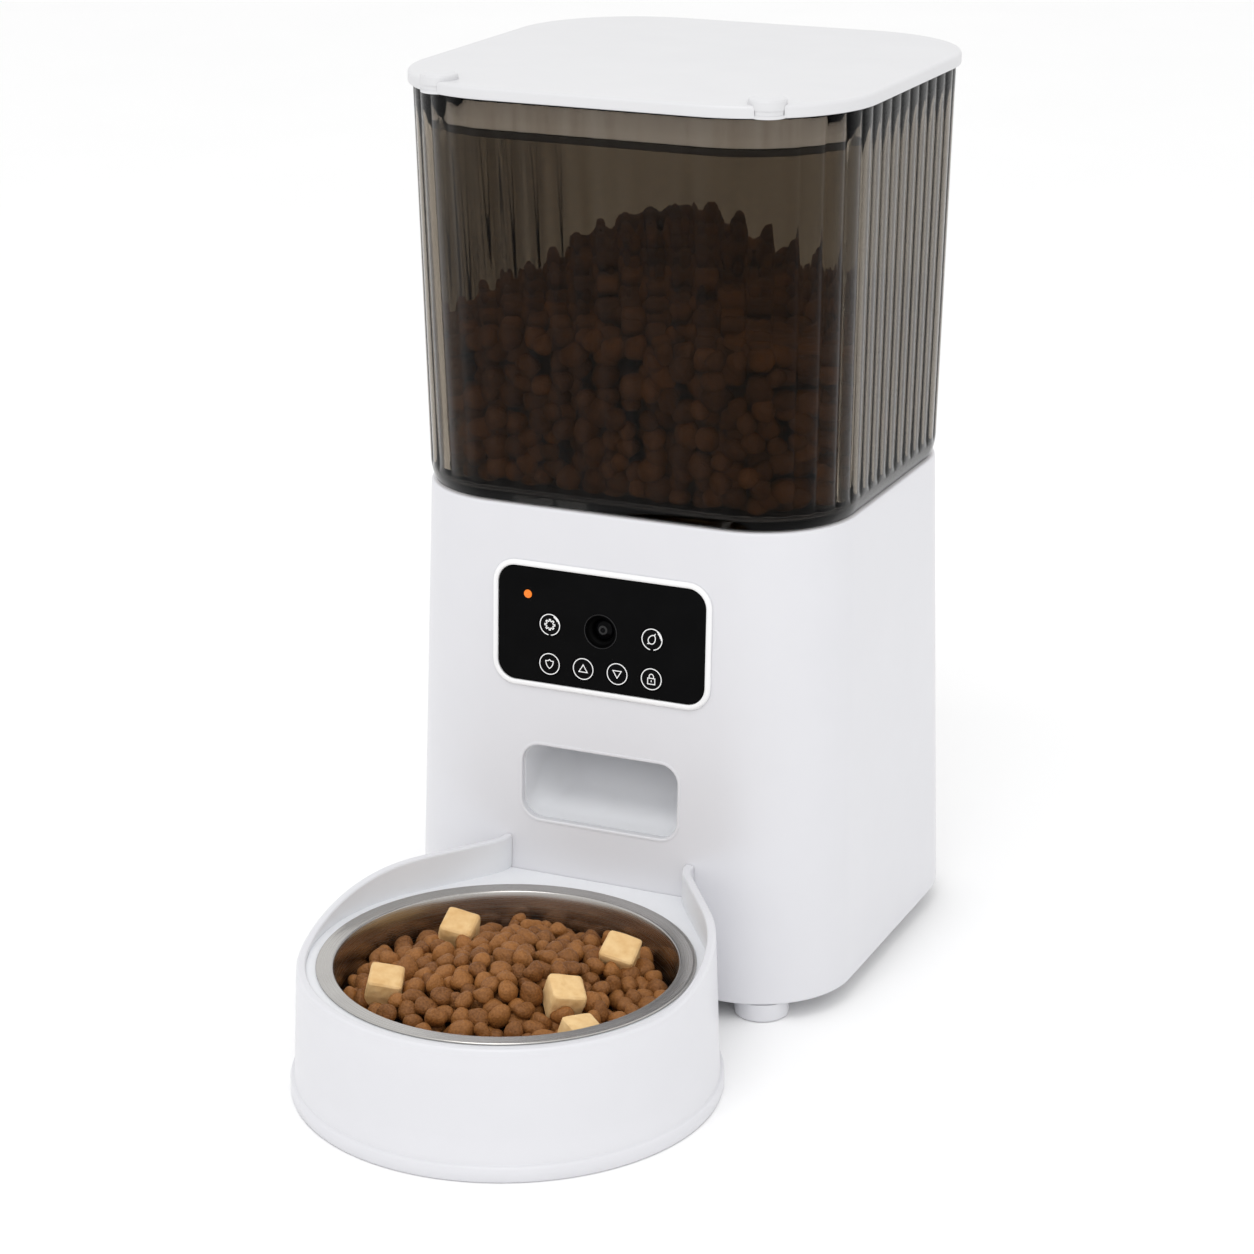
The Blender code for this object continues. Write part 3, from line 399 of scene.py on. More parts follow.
def moulded(name, colour, roughness, grain=1400.0, depth=0.000003, mottle=0.006, **settings):
    """Moulded plastic: a faint mottle, uneven gloss and a fine spark-eroded grain."""
    n = Nodes(name)
    shader = n.principled(**settings)
    tone = n.ramp(n.noise(60, 4), [
        (0.3, scaled(colour, 1 - mottle)), (0.7, scaled(colour, 1 + mottle))
    ])
    n.link(tone, shader.inputs["Base Color"])
    n.link(n.spread(n.noise(35, 3), roughness * 0.94, roughness * 1.06), shader.inputs["Roughness"])
    n.link(n.bump(n.noise(grain, 2), depth), shader.inputs["Normal"])
    return n.done(shader.outputs["BSDF"])


def gloss_black(name, colour=(0.0035, 0.0035, 0.0037), roughness=0.16, specular=0.02):
    n = Nodes(name)
    shader = n.principled(Specular_IOR_Level=specular)
    n.link(n.ramp(n.noise(90, 3), [(0.3, scaled(colour, 0.9)), (0.7, scaled(colour, 1.15))]),
           shader.inputs["Base Color"])
    n.link(n.spread(n.noise(50, 4), roughness * 0.8, roughness * 1.25), shader.inputs["Roughness"])
    n.link(n.bump(n.noise(220, 2), 0.000006), shader.inputs["Normal"])
    return n.done(shader.outputs["BSDF"])


def brushed(name, colour, roughness, rings=False):
    """Metal with fine drawn lines or, where rings is set, fine rings round the bowl's axis."""
    scale = 3000.0
    n = Nodes(name)
    shader = n.principled(Metallic=1.0)
    n.link(n.ramp(n.noise(45, 4), [(0.3, scaled(colour, 0.93)), (0.7, scaled(colour, 1.05))]),
           shader.inputs["Base Color"])
    if rings:
        split = n.add("ShaderNodeSeparateXYZ")
        n.link(n.place, split.inputs["Vector"])
        shift = n.add("ShaderNodeMath", operation="SUBTRACT")
        shift.inputs[1].default_value = BODY_Y + BOWL_Y
        n.link(split.outputs["Y"], shift.inputs[0])
        join = n.add("ShaderNodeCombineXYZ")
        n.link(split.outputs["X"], join.inputs["X"])
        n.link(shift.outputs["Value"], join.inputs["Y"])
        size = n.add("ShaderNodeVectorMath", operation="LENGTH")
        n.link(join.outputs["Vector"], size.inputs[0])
        along = n.add("ShaderNodeCombineXYZ")
        n.link(size.outputs["Value"], along.inputs["X"])
        n.link(split.outputs["Z"], along.inputs["Y"])
        lines = n.add("ShaderNodeTexNoise", Scale=scale, Detail=2.0)
        n.link(along.outputs["Vector"], lines.inputs["Vector"])
        fine = lines.outputs["Fac"]
    else:
        fine = n.noise(1.0, 3, (scale, scale, scale * 0.08))
    n.link(n.spread(fine, roughness * 0.75, roughness * 1.3), shader.inputs["Roughness"])
    n.link(n.bump(fine, 0.000004), shader.inputs["Normal"])
    return n.done(shader.outputs["BSDF"])


def smoked(name):
    """Clear grey-brown plastic with faint drag lines and smears, darker where it is thick: at the
    foot. The reeded sides are darker too, as painted shade. Light reaches what is inside without being
    bent."""
    foot_band = (TANK_FOOT_Z + 0.0032, TANK_FOOT_Z + 0.0062)
    side_shade_band = (0.087, 0.0925)
    n = Nodes(name)
    shader = n.principled(Transmission_Weight=1.0, IOR=1.49, Specular_Tint=(0.1, 0.1, 0.1, 1))
    split = n.add("ShaderNodeSeparateXYZ")
    n.link(n.place, split.inputs["Vector"])
    thick = n.spread(split.outputs["Z"], 0.0, 1.0, *foot_band)
    streaks = n.noise(1.0, 4, (210, 210, 1.5))
    body = n.ramp(streaks, [(0.32, (0.212, 0.176, 0.134)), (0.5, (0.242, 0.207, 0.165)),
                            (0.68, (0.262, 0.230, 0.188))])
    # painted shade: the tint darkens towards the tank's left and right reeded sides
    aside = n.add("ShaderNodeMath", operation="ABSOLUTE")
    n.link(split.outputs["X"], aside.inputs[0])
    side_shade = n.add("ShaderNodeVectorMath", operation="SCALE")
    n.link(body, side_shade.inputs[0])
    n.link(n.spread(aside.outputs["Value"], 1.0, 0.74, *side_shade_band), side_shade.inputs["Scale"])
    tint = n.add("ShaderNodeMix", data_type="RGBA")
    n.link(thick, tint.inputs["Factor"])
    tint.inputs[6].default_value = (0.02, 0.019, 0.018, 1)
    n.link(side_shade.outputs["Vector"], tint.inputs[7])
    n.link(tint.outputs[2], shader.inputs["Base Color"])
    n.link(n.spread(n.noise(40, 4), 0.0, 0.012), shader.inputs["Roughness"])
    n.link(n.bump(n.noise(1.0, 2, (110, 110, 3)), 0.00003), shader.inputs["Normal"])
    clear = n.add("ShaderNodeBsdfTransparent")
    clear.inputs["Color"].default_value = (0.96, 0.95, 0.94, 1)
    ray = n.add("ShaderNodeLightPath")
    surface = shader.outputs["BSDF"]
    for kind in ("Is Diffuse Ray", "Is Shadow Ray"):
        mix = n.add("ShaderNodeMixShader")
        n.link(ray.outputs[kind], mix.inputs["Fac"])
        n.link(surface, mix.inputs[1])
        n.link(clear.outputs["BSDF"], mix.inputs[2])
        surface = mix.outputs["Shader"]
    return n.done(surface)


def crumb(name, dark, light, scale, roughness, depth):
    """Baked food: a coarse crumb, pits, and a tone of its own for each piece."""
    n = Nodes(name)
    shader = n.principled(Specular_IOR_Level=0.3)
    own = n.add("ShaderNodeAttribute", attribute_name="tone").outputs["Fac"]
    grain = n.noise(scale, 5)
    mixed = n.add("ShaderNodeMath", operation="ADD")
    n.link(own, mixed.inputs[0])
    n.link(n.spread(grain, -0.22, 0.22), mixed.inputs[1])
    # Below 0.1 the tone falls to near black: painted shade, used by the solids under the food.
    stops = [(0.0, scaled(dark, 0.1)), (0.1, dark), (0.9, light)]
    n.link(n.ramp(mixed.outputs["Value"], stops), shader.inputs["Base Color"])
    n.link(n.spread(grain, roughness, roughness * 0.7), shader.inputs["Roughness"])
    pits = n.add("ShaderNodeTexVoronoi", Scale=scale * 1.2)
    n.link(n.place, pits.inputs["Vector"])
    rough = n.bump(grain, depth)
    n.link(n.bump(pits.outputs["Distance"], depth * 0.6, rough), shader.inputs["Normal"])
    return n.done(shader.outputs["BSDF"])


def glowing(name, colour, strength):
    n = Nodes(name)
    shader = n.principled(Emission_Strength=strength)
    tint = n.ramp(n.noise(500, 2), [(0.3, scaled(colour, 0.85)), (0.7, colour)])
    n.link(n.ramp(n.noise(500, 2), [(0.3, scaled(colour, 0.2)), (0.7, scaled(colour, 0.25))]),
           shader.inputs["Base Color"])
    n.link(tint, shader.inputs["Emission Color"])
    n.link(n.spread(n.noise(300, 2), 0.2, 0.35), shader.inputs["Roughness"])
    return n.done(shader.outputs["BSDF"])


WHITE = moulded("white_satin", (0.69, 0.69, 0.718), 0.33, Coat_Weight=0.05)
LID_WHITE = moulded("white_lid", (0.655, 0.655, 0.668), 0.36, grain=900.0, depth=0.000001)
# A paler copy of the white plastic: painted light on the holder's inner faces, its deck and the chute;
# the parts inside use it too.
LIT_INNER_WHITE = moulded("white_inside_painted_light", (0.77, 0.78, 0.805), 0.42)
NATURAL = moulded("natural_gear", (0.78, 0.76, 0.68), 0.38, grain=900.0, mottle=0.04)
GREY_VANE = moulded("grey_vane", (0.42, 0.43, 0.45), 0.6, grain=700.0, depth=0.00003, mottle=0.06)
SMOKE = smoked("smoked_clear")
BLACK = gloss_black("panel_black")
KEY_BLACK = gloss_black("key_black", (0.0042, 0.0042, 0.0045), 0.22)
LENS = gloss_black("lens_glass", (0.0015, 0.0015, 0.002), 0.08, 0.05)
CONE = gloss_black("camera_black", (0.0012, 0.0012, 0.0013), 0.45, 0.03)
RIM = gloss_black("camera_rim", (0.012, 0.012, 0.013), 0.3, 0.35)
MATTE = moulded("black_matte", (0.012, 0.012, 0.013), 0.55, grain=900.0, mottle=0.1,
                Specular_IOR_Level=0.25)
RUBBER = moulded("seal_rubber", (0.035, 0.033, 0.032), 0.7, grain=500.0, depth=0.00003, mottle=0.12)
BEZEL_WHITE = moulded("white_bezel", (0.86, 0.86, 0.865), 0.32)
PRINT = moulded("printed_white", (0.92, 0.92, 0.92), 0.45, grain=900.0, mottle=0.03,
                Specular_IOR_Level=0.2)
STEEL = brushed("steel", (0.62, 0.61, 0.60), 0.28)
BOWL_STEEL = brushed("bowl_steel", (0.47, 0.455, 0.435), 0.24, rings=True)
ORANGE = glowing("led_orange", (0.95, 0.21, 0.004), 0.9)
KIBBLE = crumb("kibble", (0.12, 0.042, 0.009), (0.33, 0.135, 0.034), 1100, 0.66, 0.00030)
# The stored food is a darker copy of the bowl's kibble: painted shade on the food inside the tank.
SHADED_STORED = crumb("stored_kibble_painted_shade", (0.034, 0.011, 0.002), (0.125, 0.046, 0.008), 900, 0.66, 0.00028)
TREAT = crumb("treat", (0.66, 0.39, 0.15), (0.88, 0.63, 0.32), 260, 0.62, 0.0004)


def circuit_board():
    n = Nodes("circuit_board")
    shader = n.principled()
    tracks = n.add("ShaderNodeTexBrick", Scale=260.0)
    n.link(n.place, tracks.inputs["Vector"])
    tracks.inputs["Color1"].default_value = (0.010, 0.11, 0.045, 1)
    tracks.inputs["Color2"].default_value = (0.016, 0.15, 0.06, 1)
    tracks.inputs["Mortar"].default_value = (0.03, 0.20, 0.09, 1)
    n.link(tracks.outputs["Color"], shader.inputs["Base Color"])
    n.link(n.spread(n.noise(120, 3), 0.3, 0.5), shader.inputs["Roughness"])
    n.link(n.bump(tracks.outputs["Fac"], 0.00004), shader.inputs["Normal"])
    return n.done(shader.outputs["BSDF"])


def cell_sleeve():
    n = Nodes("cell_sleeve")
    shader = n.principled(Coat_Weight=0.4)
    split = n.add("ShaderNodeSeparateXYZ")
    n.link(n.place, split.inputs["Vector"])
    band = n.spread(split.outputs["X"], 0.0, 1.0, -0.02, 0.02)
    n.link(n.ramp(band, [(0.28, (0.30, 0.24, 0.12)), (0.3, (0.02, 0.025, 0.035))]),
           shader.inputs["Base Color"])
    n.link(n.spread(n.noise(90, 3), 0.22, 0.38), shader.inputs["Roughness"])
    n.link(n.bump(n.noise(200, 2), 0.00002), shader.inputs["Normal"])
    return n.done(shader.outputs["BSDF"])


BOARD = circuit_board()
CELL = cell_sleeve()


# ---------------------------------------------------------------- body


def body_outline(height, inset=0.0):
    share = (height - BODY_FOOT_Z) / (BODY_TOP_Z - BODY_FOOT_Z)
    half_x = between(BODY_FOOT_HALF[0], BODY_TOP_HALF[0], share) - inset
    half_y = between(BODY_FOOT_HALF[1], BODY_TOP_HALF[1], share) - inset
    return rounded(half_x, half_y, BODY_CORNER - inset, 20)


def make_shell():
    wall = 0.0024
    profile = soften(
        [(0, BODY_FOOT_Z), (0, BODY_TOP_Z), (wall, BODY_TOP_Z), (wall, BODY_FOOT_Z)],
        [0.0026, 0.0018, 0.0004, 0.0003], 7, ring=True,
    )
    loops = [lifted(body_outline(z, inset), z) for inset, z in profile]
    shell = loft("shell", loops, WHITE, ring=True, sharp=50)
    room = 0.0014
    window = rounded(PANEL_HALF[0] + room, PANEL_HALF[1] + room, PANEL_CORNER + room)
    boolean(shell, prism("window", window, -CUT_DEPTH, CUT_DEPTH, FACE))
    lip = 0.0013
    middle_z = (CHUTE_LOW_Z + CHUTE_HIGH_Z) / 2
    size = (CHUTE_HALF_WIDTH + lip, (CHUTE_HIGH_Z - CHUTE_LOW_Z) / 2 + lip, CHUTE_CORNER + lip)
    mouth = front_frame(middle_z)
    boolean(shell, prism("mouth", rounded(*size), -CUT_DEPTH, CUT_DEPTH, mouth))
    jack = at(*JACK_PLACE) @ Matrix.Rotation(math.pi / 2, 4, "X")
    boolean(shell, prism("jack", circle(JACK_RADIUS, 48), -CUT_DEPTH, CUT_DEPTH, jack))
    profile = soften(
        [(0, -0.0012), (0, 0.00025), (lip, 0.00025), (lip, -0.0030), (0.0001, -0.0030)],
        [0, 0.0002, 0.0011, 0.0002, 0], 5,
    )
    rim = loft("chute_lip", inset_loops(size, profile, 20), WHITE, ring=True, matrix=mouth, sharp=50)
    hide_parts("outer_shell")
    for piece in (shell, rim):
        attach(piece, "root")


def make_feet():
    for end, sign_y in (("front", -1), ("rear", 1)):
        for side, sign_x in (("left", -1), ("right", 1)):
            profile = soften(
                [(0, 0.0077), (0.01135, 0.0077), (0.0111, 0), (0, 0)], [0, 0.0002, 0.0011, 0], 5
            )
            foot = turned(f"foot_pad_{end}_{side}", profile, WHITE, at(sign_x * 0.068, sign_y * 0.078, 0))
            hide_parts(f"foot_{end}_{side}")
            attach(foot, "root")


def make_chute():
    """A smooth scoop that rises from the front opening to the hopper's outlet."""
    middle_z = (CHUTE_LOW_Z + CHUTE_HIGH_Z) / 2
    mouth_y = front_y(middle_z) + 0.0026
    floor = soften(
        [(mouth_y, CHUTE_LOW_Z), (-0.0815, CHUTE_LOW_Z + 0.0004), (-0.066, 0.0812), (-0.050, 0.0935),
         (-0.0310, 0.1040), (-0.0262, 0.1125)], 0.012, 4,
    )
    roof = soften(
        [(mouth_y, CHUTE_HIGH_Z), (-0.073, CHUTE_HIGH_Z), (-0.0545, 0.1072), (-0.0505, 0.1125)],
        0.008, 6,
    )

    def even(line, count):
        line = np.array(line)
        run = np.concatenate([[0], np.cumsum(np.linalg.norm(np.diff(line, axis=0), axis=1))])
        where = np.linspace(0, run[-1], count)
        return np.stack([np.interp(where, run, line[:, k]) for k in (0, 1)], 1)

    floor, roof = even(floor, 22), even(roof, 22)
    inner, outer = [], []
    for i, (low, high) in enumerate(zip(floor, roof)):
        share = i / 21
        middle, up = (low + high) / 2, (high - low)
        half_height = np.linalg.norm(up) / 2
        up = up / np.linalg.norm(up)
        width = CHUTE_HALF_WIDTH - 0.0004 - 0.006 * eased((share - 0.3) / 0.7)
        corner = min(between(CHUTE_CORNER, 0.013, eased(share * 2.5)), half_height * 0.98)
        for loops, grow in ((inner, 0.0), (outer, 0.0016)):
            loops.append([
                (x, BODY_Y + middle[0] + up[0] * v, middle[1] + up[1] * v)
                for x, v in rounded(width + grow, half_height + grow, corner + grow, 10)
            ])
    # The scoop is the paler white: painted light in its hollow.
    chute = loft("chute_scoop", inner + outer[::-1], LIT_INNER_WHITE, ring=True, sharp=60)
    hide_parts("chute")
    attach(chute, "root")


# ---------------------------------------------------------------- control panel


def make_panel():
    rim = BEZEL_RIM
    profile = soften(
        [(0, 0.0002), (0.0006, 0.0012), (rim - 0.0007, 0.0013), (rim, 0.0009), (rim, -0.0028),
         (0.0014, -0.0028), (0.0014, 0.0002)],
        [0.0001, 0.0008, 0.0004, 0.0002, 0.0001, 0.0001, 0.0001], 4, ring=True,
    )
    size = (PANEL_HALF[0] + rim, PANEL_HALF[1] + rim, PANEL_CORNER + rim)
    bezel = loft("bezel", inset_loops(size, profile, 20), BEZEL_WHITE, ring=True, matrix=FACE, sharp=60)
    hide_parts("control_bezel")
    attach(bezel, "root")

    gap = 0.0002
    profile = soften([(gap, -0.0015), (gap, 0.0005), (0.001, 0.0005)], [0, 0.0003, 0], 4)
    panel = loft("panel", inset_loops((*PANEL_HALF, PANEL_CORNER), profile, 16), BLACK, matrix=FACE)
    holes = [(place, KEY_RADIUS + 0.00012, 64) for place in KEYS.values()]
    holes += [(LED_PLACE, LED_RADIUS + 0.0001, 40), (CAMERA_PLACE, CAMERA_RADIUS, 96)]
    for place, radius, steps in holes:
        boolean(panel, prism("hole", circle(radius, steps), -0.01, 0.01, on_face(*place)))
    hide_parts("control_panel")
    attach(panel, "root")

    profile = soften([(0, 0.0007), (LED_RADIUS, 0.0006), (LED_RADIUS, -0.004), (0, -0.004)],
                     [0, 0.0003, 0, 0], 4)
    led = turned("led", profile, ORANGE, on_face(*LED_PLACE), 40)
    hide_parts("status_led")
    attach(led, "root")


def ring_gap(radius, gap_at=None, gap=0.0):
    """A circle's path, broken for gap radians about the angle gap_at."""
    if gap_at is None:
        return circle(radius, 72), True
    start = gap_at + gap / 2
    return arc((0, 0), radius, start, start + 2 * math.pi - gap, 64), False


def icon_paths():
    """Plain line symbols: cog, portion, shield, up, down and padlock."""
    mm = 0.001
    cog = []
    for tooth in range(8):
        for turn, radius in ((-0.24, 1.5), (-0.13, 2.25), (0.13, 2.25), (0.24, 1.5)):
            angle = 2 * math.pi * tooth / 8 + turn
            cog.append((radius * mm * math.cos(angle), radius * mm * math.sin(angle)))
    seed_pod = [
        (1.75 * mm * math.cos(a) * (1 - 0.18 * math.sin(a)), 1.75 * mm * math.sin(a))
        for a in (2 * math.pi * i / 40 for i in range(40))
    ]
    lean = Matrix.Rotation(math.radians(-28), 2)
    seed_pod = [tuple(lean @ Vector((x * 0.82, y * 1.12))) for x, y in seed_pod]
    stem = [tuple(lean @ Vector((0.1 * mm, y * mm))) for y in (1.9, 2.9)]
    husk = [tuple(lean @ Vector((x * mm, y * mm))) for x, y in ((-0.9, -2.6), (-0.2, -2.2))]
    shield = [(0, 1.85), (0.65, 1.3), (1.7, 1.25), (1.45, -0.1), (0.9, -1.15), (0, -1.9),
              (-0.9, -1.15), (-1.45, -0.1), (-1.7, 1.25), (-0.65, 1.3)]
    shield = [(x * mm, y * mm) for x, y in shield]
    up = [(0, 1.75 * mm), (-1.85 * mm, -1.3 * mm), (1.85 * mm, -1.3 * mm)]
    down = [(x, -y) for x, y in up]
    block = [(x * mm, y * mm) for x, y in ((-1.55, -2.1), (1.55, -2.1), (1.55, 0.35), (-1.55, 0.35))]
    hasp = [(-0.95 * mm, 0.45 * mm)] + arc((0, 1.15 * mm), 0.95 * mm, math.pi, 0, 14)
    hasp += [(0.95 * mm, 0.45 * mm)]
    slot = [(0, -0.45 * mm), (0, -1.2 * mm)]
    quarter = math.radians(270)
    return {
        "key_settings": [ring_gap(4.35 * mm, quarter, 0.26), (cog, True),
                         (arc((0, 0), 4.05 * mm, 0.2, 1.15, 8), False),
                         (arc((0, 0), 3.75 * mm, 0.45, 1.1, 8), False)],
        "key_feed": [ring_gap(4.35 * mm, quarter, 0.34), (seed_pod, True), (stem, False), (husk, False),
                     (arc((0, 0), 4.05 * mm, 0.0, 1.0, 8), False),
                     (arc((0, 0), 3.75 * mm, 0.2, 0.8, 8), False)],
        "key_mode": [ring_gap(4.35 * mm), (shield, True)],
        "key_up": [ring_gap(4.35 * mm), (up, True)],
        "key_down": [ring_gap(4.35 * mm), (down, True)],
        "key_lock": [ring_gap(4.35 * mm), (block, True), (hasp, False), (slot, False)],
    }


def make_keys():
    paths = icon_paths()
    for name, (x, y) in KEYS.items():
        profile = soften(
            [(0, 0.00052), (KEY_RADIUS, 0.0005), (KEY_RADIUS, -0.0021), (0.00605, -0.0021),
             (0.00605, -0.0031), (0.0022, -0.0031), (0.0022, -0.0043), (0, -0.0043)],
            [0, 0.0003, 0.0001, 0.0001, 0.0001, 0.0001, 0.0001, 0], 3,
        )
        cap = turned(f"{name}_cap", profile, KEY_BLACK, on_face(x, y), 72)
        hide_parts(name)
        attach(cap, name)
        mark = stroke(f"{name}_mark", paths[name], 0.00036, 0.0004, 0.00058, PRINT, on_face(x, y))
        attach(mark, name)


def make_camera_eye():
    profile = soften(
        [(0.0066, 0.00062), (0.00705, 0.0006), (0.00705, -0.008), (0.0046, -0.008), (0.0046, -0.0022),
         (0.0050, -0.0016), (0.0058, -0.0011), (0.0064, -0.0002)],
        [0.0002, 0.0002, 0.0002, 0.0002, 0.0003, 0.0003, 0.0003, 0.0003], 3, ring=True,
    )
    barrel = turned("camera_cone", profile, CONE, on_face(*CAMERA_PLACE), 96, closed=True)
    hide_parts("camera_barrel")
    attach(barrel, "root")
    dome = [(0.0044 * math.sin(math.radians(a)), -0.0036 + 0.0019 * math.cos(math.radians(a)))
            for a in range(0, 91, 9)]
    lens = turned("camera_glass", [*dome, (0.0044, -0.0076), (0, -0.0076)], LENS,
                  on_face(*CAMERA_PLACE), 72)
    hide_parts("camera_lens")
    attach(lens, "root")
    ring = soften([(0.0011, -0.0016), (0.0019, -0.0017), (0.0019, -0.0023), (0.0011, -0.0021)],
                  0.0001, 2, ring=True)
    iris = turned("camera_iris", ring, RIM, on_face(*CAMERA_PLACE), 48, closed=True)
    edge = soften([(0.00690, 0.00045), (0.00690, 0.00080), (0.00715, 0.00080), (0.00715, 0.00045)],
                  0.0001, 3, ring=True)
    rim = turned("camera_rim", edge, RIM, on_face(*CAMERA_PLACE), 96, closed=True)
    for piece in (iris, rim):
        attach(piece, "root")


# ---------------------------------------------------------------- tank and lid


def tank_size(height, inset=0.0):
    share = (height - TANK_FOOT_Z) / (TANK_TOP_Z - TANK_FOOT_Z)
    return (
        between(BODY_TOP_HALF[0], TANK_TOP_HALF[0], share) - inset,
        between(BODY_TOP_HALF[1], TANK_TOP_HALF[1], share) - inset,
        between(BODY_CORNER, TANK_TOP_CORNER, share) - inset,
    )


def tank_loop(height, inset, flute, count):
    """Evenly spaced points round the tank, with reeds that stand out from its valleys by flute."""
    points, normals = even_rounded(*tank_size(height, inset), count)
    phase = (np.arange(count) / count * FLUTES) % 1.0
    across = np.abs(2 * phase - 1)
    facing = np.abs(normals[:, 1]) ** 6
    reeds = 0.7 * across ** 2 + 0.3 * across ** 6
    waves = 0.5 - 0.5 * np.cos(np.pi * across)
    sunk = between(reeds, waves, facing) * flute * (1 - 0.6 * facing)
    points = points - normals * sunk[:, None]
    return [(x, y + BODY_Y, height) for x, y in points]


def make_tank():
    per_flute = 14
    count = FLUTES * per_flute
    foot, top = TANK_FOOT_Z, TANK_TOP_Z
    curve, throat = 0.010, 0.045
    bend, bend_z = 0.006, foot + 0.009

    def tuck(z):
        """The tank's side turns in a little at its foot."""
        low = max(0.0, 1 - (z - foot) / curve)
        return 0.0016 * low ** 2.2

    def depth(z):
        return FLUTE_DEPTH * math.sqrt(eased((z - foot - 0.0062) / 0.0042))

    heights = [foot + 0.0007 + 0.0205 * (i / 40) ** 1.3 for i in range(41)]
    heights += list(np.linspace(heights[-1], top - 0.0006, 14)[1:])
    loops = [tank_loop(foot, 0.0030, 0, count), tank_loop(foot, tuck(foot) + 0.0008, 0, count)]
    loops.append(tank_loop(foot + 0.00025, tuck(foot) + 0.0002, 0, count))
    loops += [tank_loop(z, tuck(z), depth(z), count) for z in heights]
    loops.append(tank_loop(top, 0.0006, FLUTE_DEPTH * 0.6, count))
    loops.append(tank_loop(top, TANK_WALL - 0.0003, 0, count))
    for z in np.linspace(top - 0.0004, bend_z, 8):
        loops.append(tank_loop(z, TANK_WALL, 0, count))
    for step in range(1, 7):
        angle = math.pi / 2 * step / 6
        inset = TANK_WALL + bend * (1 - math.cos(angle))
        loops.append(tank_loop(bend_z - bend * math.sin(angle), inset, 0, count))
    points, _ = even_rounded(*tank_size(foot, 0.02), count)
    angles = [math.atan2(y, x) for x, y in points]
    for z, radius in ((foot + 0.003, throat + 0.0005), (foot + 0.0025, throat), (foot, throat)):
        loops.append([(radius * math.cos(a), BODY_Y + radius * math.sin(a), z) for a in angles])
    tank = loft("tank", loops, SMOKE, ring=True, sharp=70)
    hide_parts("food_tank")
    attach(tank, "tank")

    for sign in (-1, 1):
        profile = soften([(0.0013, -0.0045), (HINGE_RADIUS, -0.0045), (HINGE_RADIUS, 0.0045),
                          (0.0013, 0.0045)], [0.0001, 0.0005, 0.0005, 0.0001], 3, ring=True)
        lug = turned(f"tank_lug_{'left' if sign < 0 else 'right'}", profile, SMOKE,
                     at(sign * 0.0175, HINGE_Y, HINGE_Z) @ SIDEWAYS, 32, closed=True)
        web = prism("web", rounded(0.0043, 0.0014, 0.0006, 4), -0.0024, 0.0018,
                    at(sign * 0.0175, HINGE_Y - 0.0027, HINGE_Z))
        boolean(lug, web, "UNION")
        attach(lug, "tank")


def make_lid():
    profile = soften(
        [(0.010, LID_Z), (0, LID_Z), (0, LID_TOP_Z), (0.006, LID_TOP_Z)], [0, 0.0007, 0.0016, 0], 7
    )
    loops = [
        lifted(rounded(LID_HALF[0] - inset, LID_HALF[1] - inset, LID_CORNER - inset, 24), z)
        for inset, z in profile
    ]
    lid = loft("lid_cover", loops, LID_WHITE, sharp=40)
    high = LID_Z + 0.001

    def skirt(inset, z):
        size = tank_size(SKIRT_FOOT_Z, TANK_WALL + 0.0012 + inset)
        return lifted(rounded(*size, 24), z)

    profile = soften([(0, SKIRT_FOOT_Z), (0, high), (0.002, high), (0.002, SKIRT_FOOT_Z)],
                     [0.0006, 0, 0, 0.0006], 4, ring=True)
    boolean(lid, loft("skirt", [skirt(*point) for point in profile], None, ring=True), "UNION")
    half = 0.0126
    profile = soften([(0, -half), (HINGE_RADIUS, -half), (HINGE_RADIUS, half), (0, half)],
                     [0, 0.0005, 0.0005, 0], 3)
    boolean(lid, turned("knuckle", profile, None, at(0, HINGE_Y, HINGE_Z) @ SIDEWAYS, 40), "UNION")
    boolean(lid, prism("arm", rounded(half, 0.0023, 0.0008, 4), -0.0028, 0.0032,
                       at(0, HINGE_Y - 0.0003, LID_Z + 0.0002)), "UNION")
    bore = prism("bore", circle(0.0014, 24), -0.03, 0.03, at(0, HINGE_Y, HINGE_Z) @ SIDEWAYS)
    boolean(lid, bore)
    for side, sign in (("left", -1), ("right", 1)):
        spot = (sign * BUTTON_PLACE[0], BUTTON_PLACE[1])
        base, pocket = LID_Z + 0.0012, circle(BUTTON_RADIUS + 0.00006, 96)
        boolean(lid, prism("collar", pocket, LID_Z, base, at(*spot, 0)), "UNION")
        boolean(lid, prism("pocket", pocket, base, BUTTON_TOP_Z + 0.0116, at(*spot, 0)))
        post, low, high = BUTTON_RADIUS - 0.00028, LID_Z + 0.0004, LID_Z + 0.0050
        profile = soften([(0, low), (post, low), (post, high), (0, high)], [0, 0, 0.0004, 0], 4)
        boolean(lid, turned("boss", profile, None, at(*spot, 0), 96), "UNION")
        sleeve, sleeve_wall, ceiling = LID_Z + 0.0031, 0.0002, LID_Z + 0.0070
        profile = soften(
            [(0, BUTTON_TOP_Z), (BUTTON_RADIUS - 0.0022, BUTTON_TOP_Z - 0.0001),
             (BUTTON_RADIUS, BUTTON_TOP_Z - 0.0012), (BUTTON_RADIUS, sleeve),
             (BUTTON_RADIUS - sleeve_wall, sleeve), (BUTTON_RADIUS - sleeve_wall, ceiling),
             (0, ceiling)],
            [0, 0.003, 0.0010, 0.00005, 0.00005, 0.0001, 0], 7,
        )
        button = turned(f"button_{side}", profile, LID_WHITE, at(*spot, 0), 96, sharp=50)
        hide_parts(f"latch_button_{side}")
        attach(button, f"latch_{side}")
    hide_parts("lid")
    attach(lid, "lid")


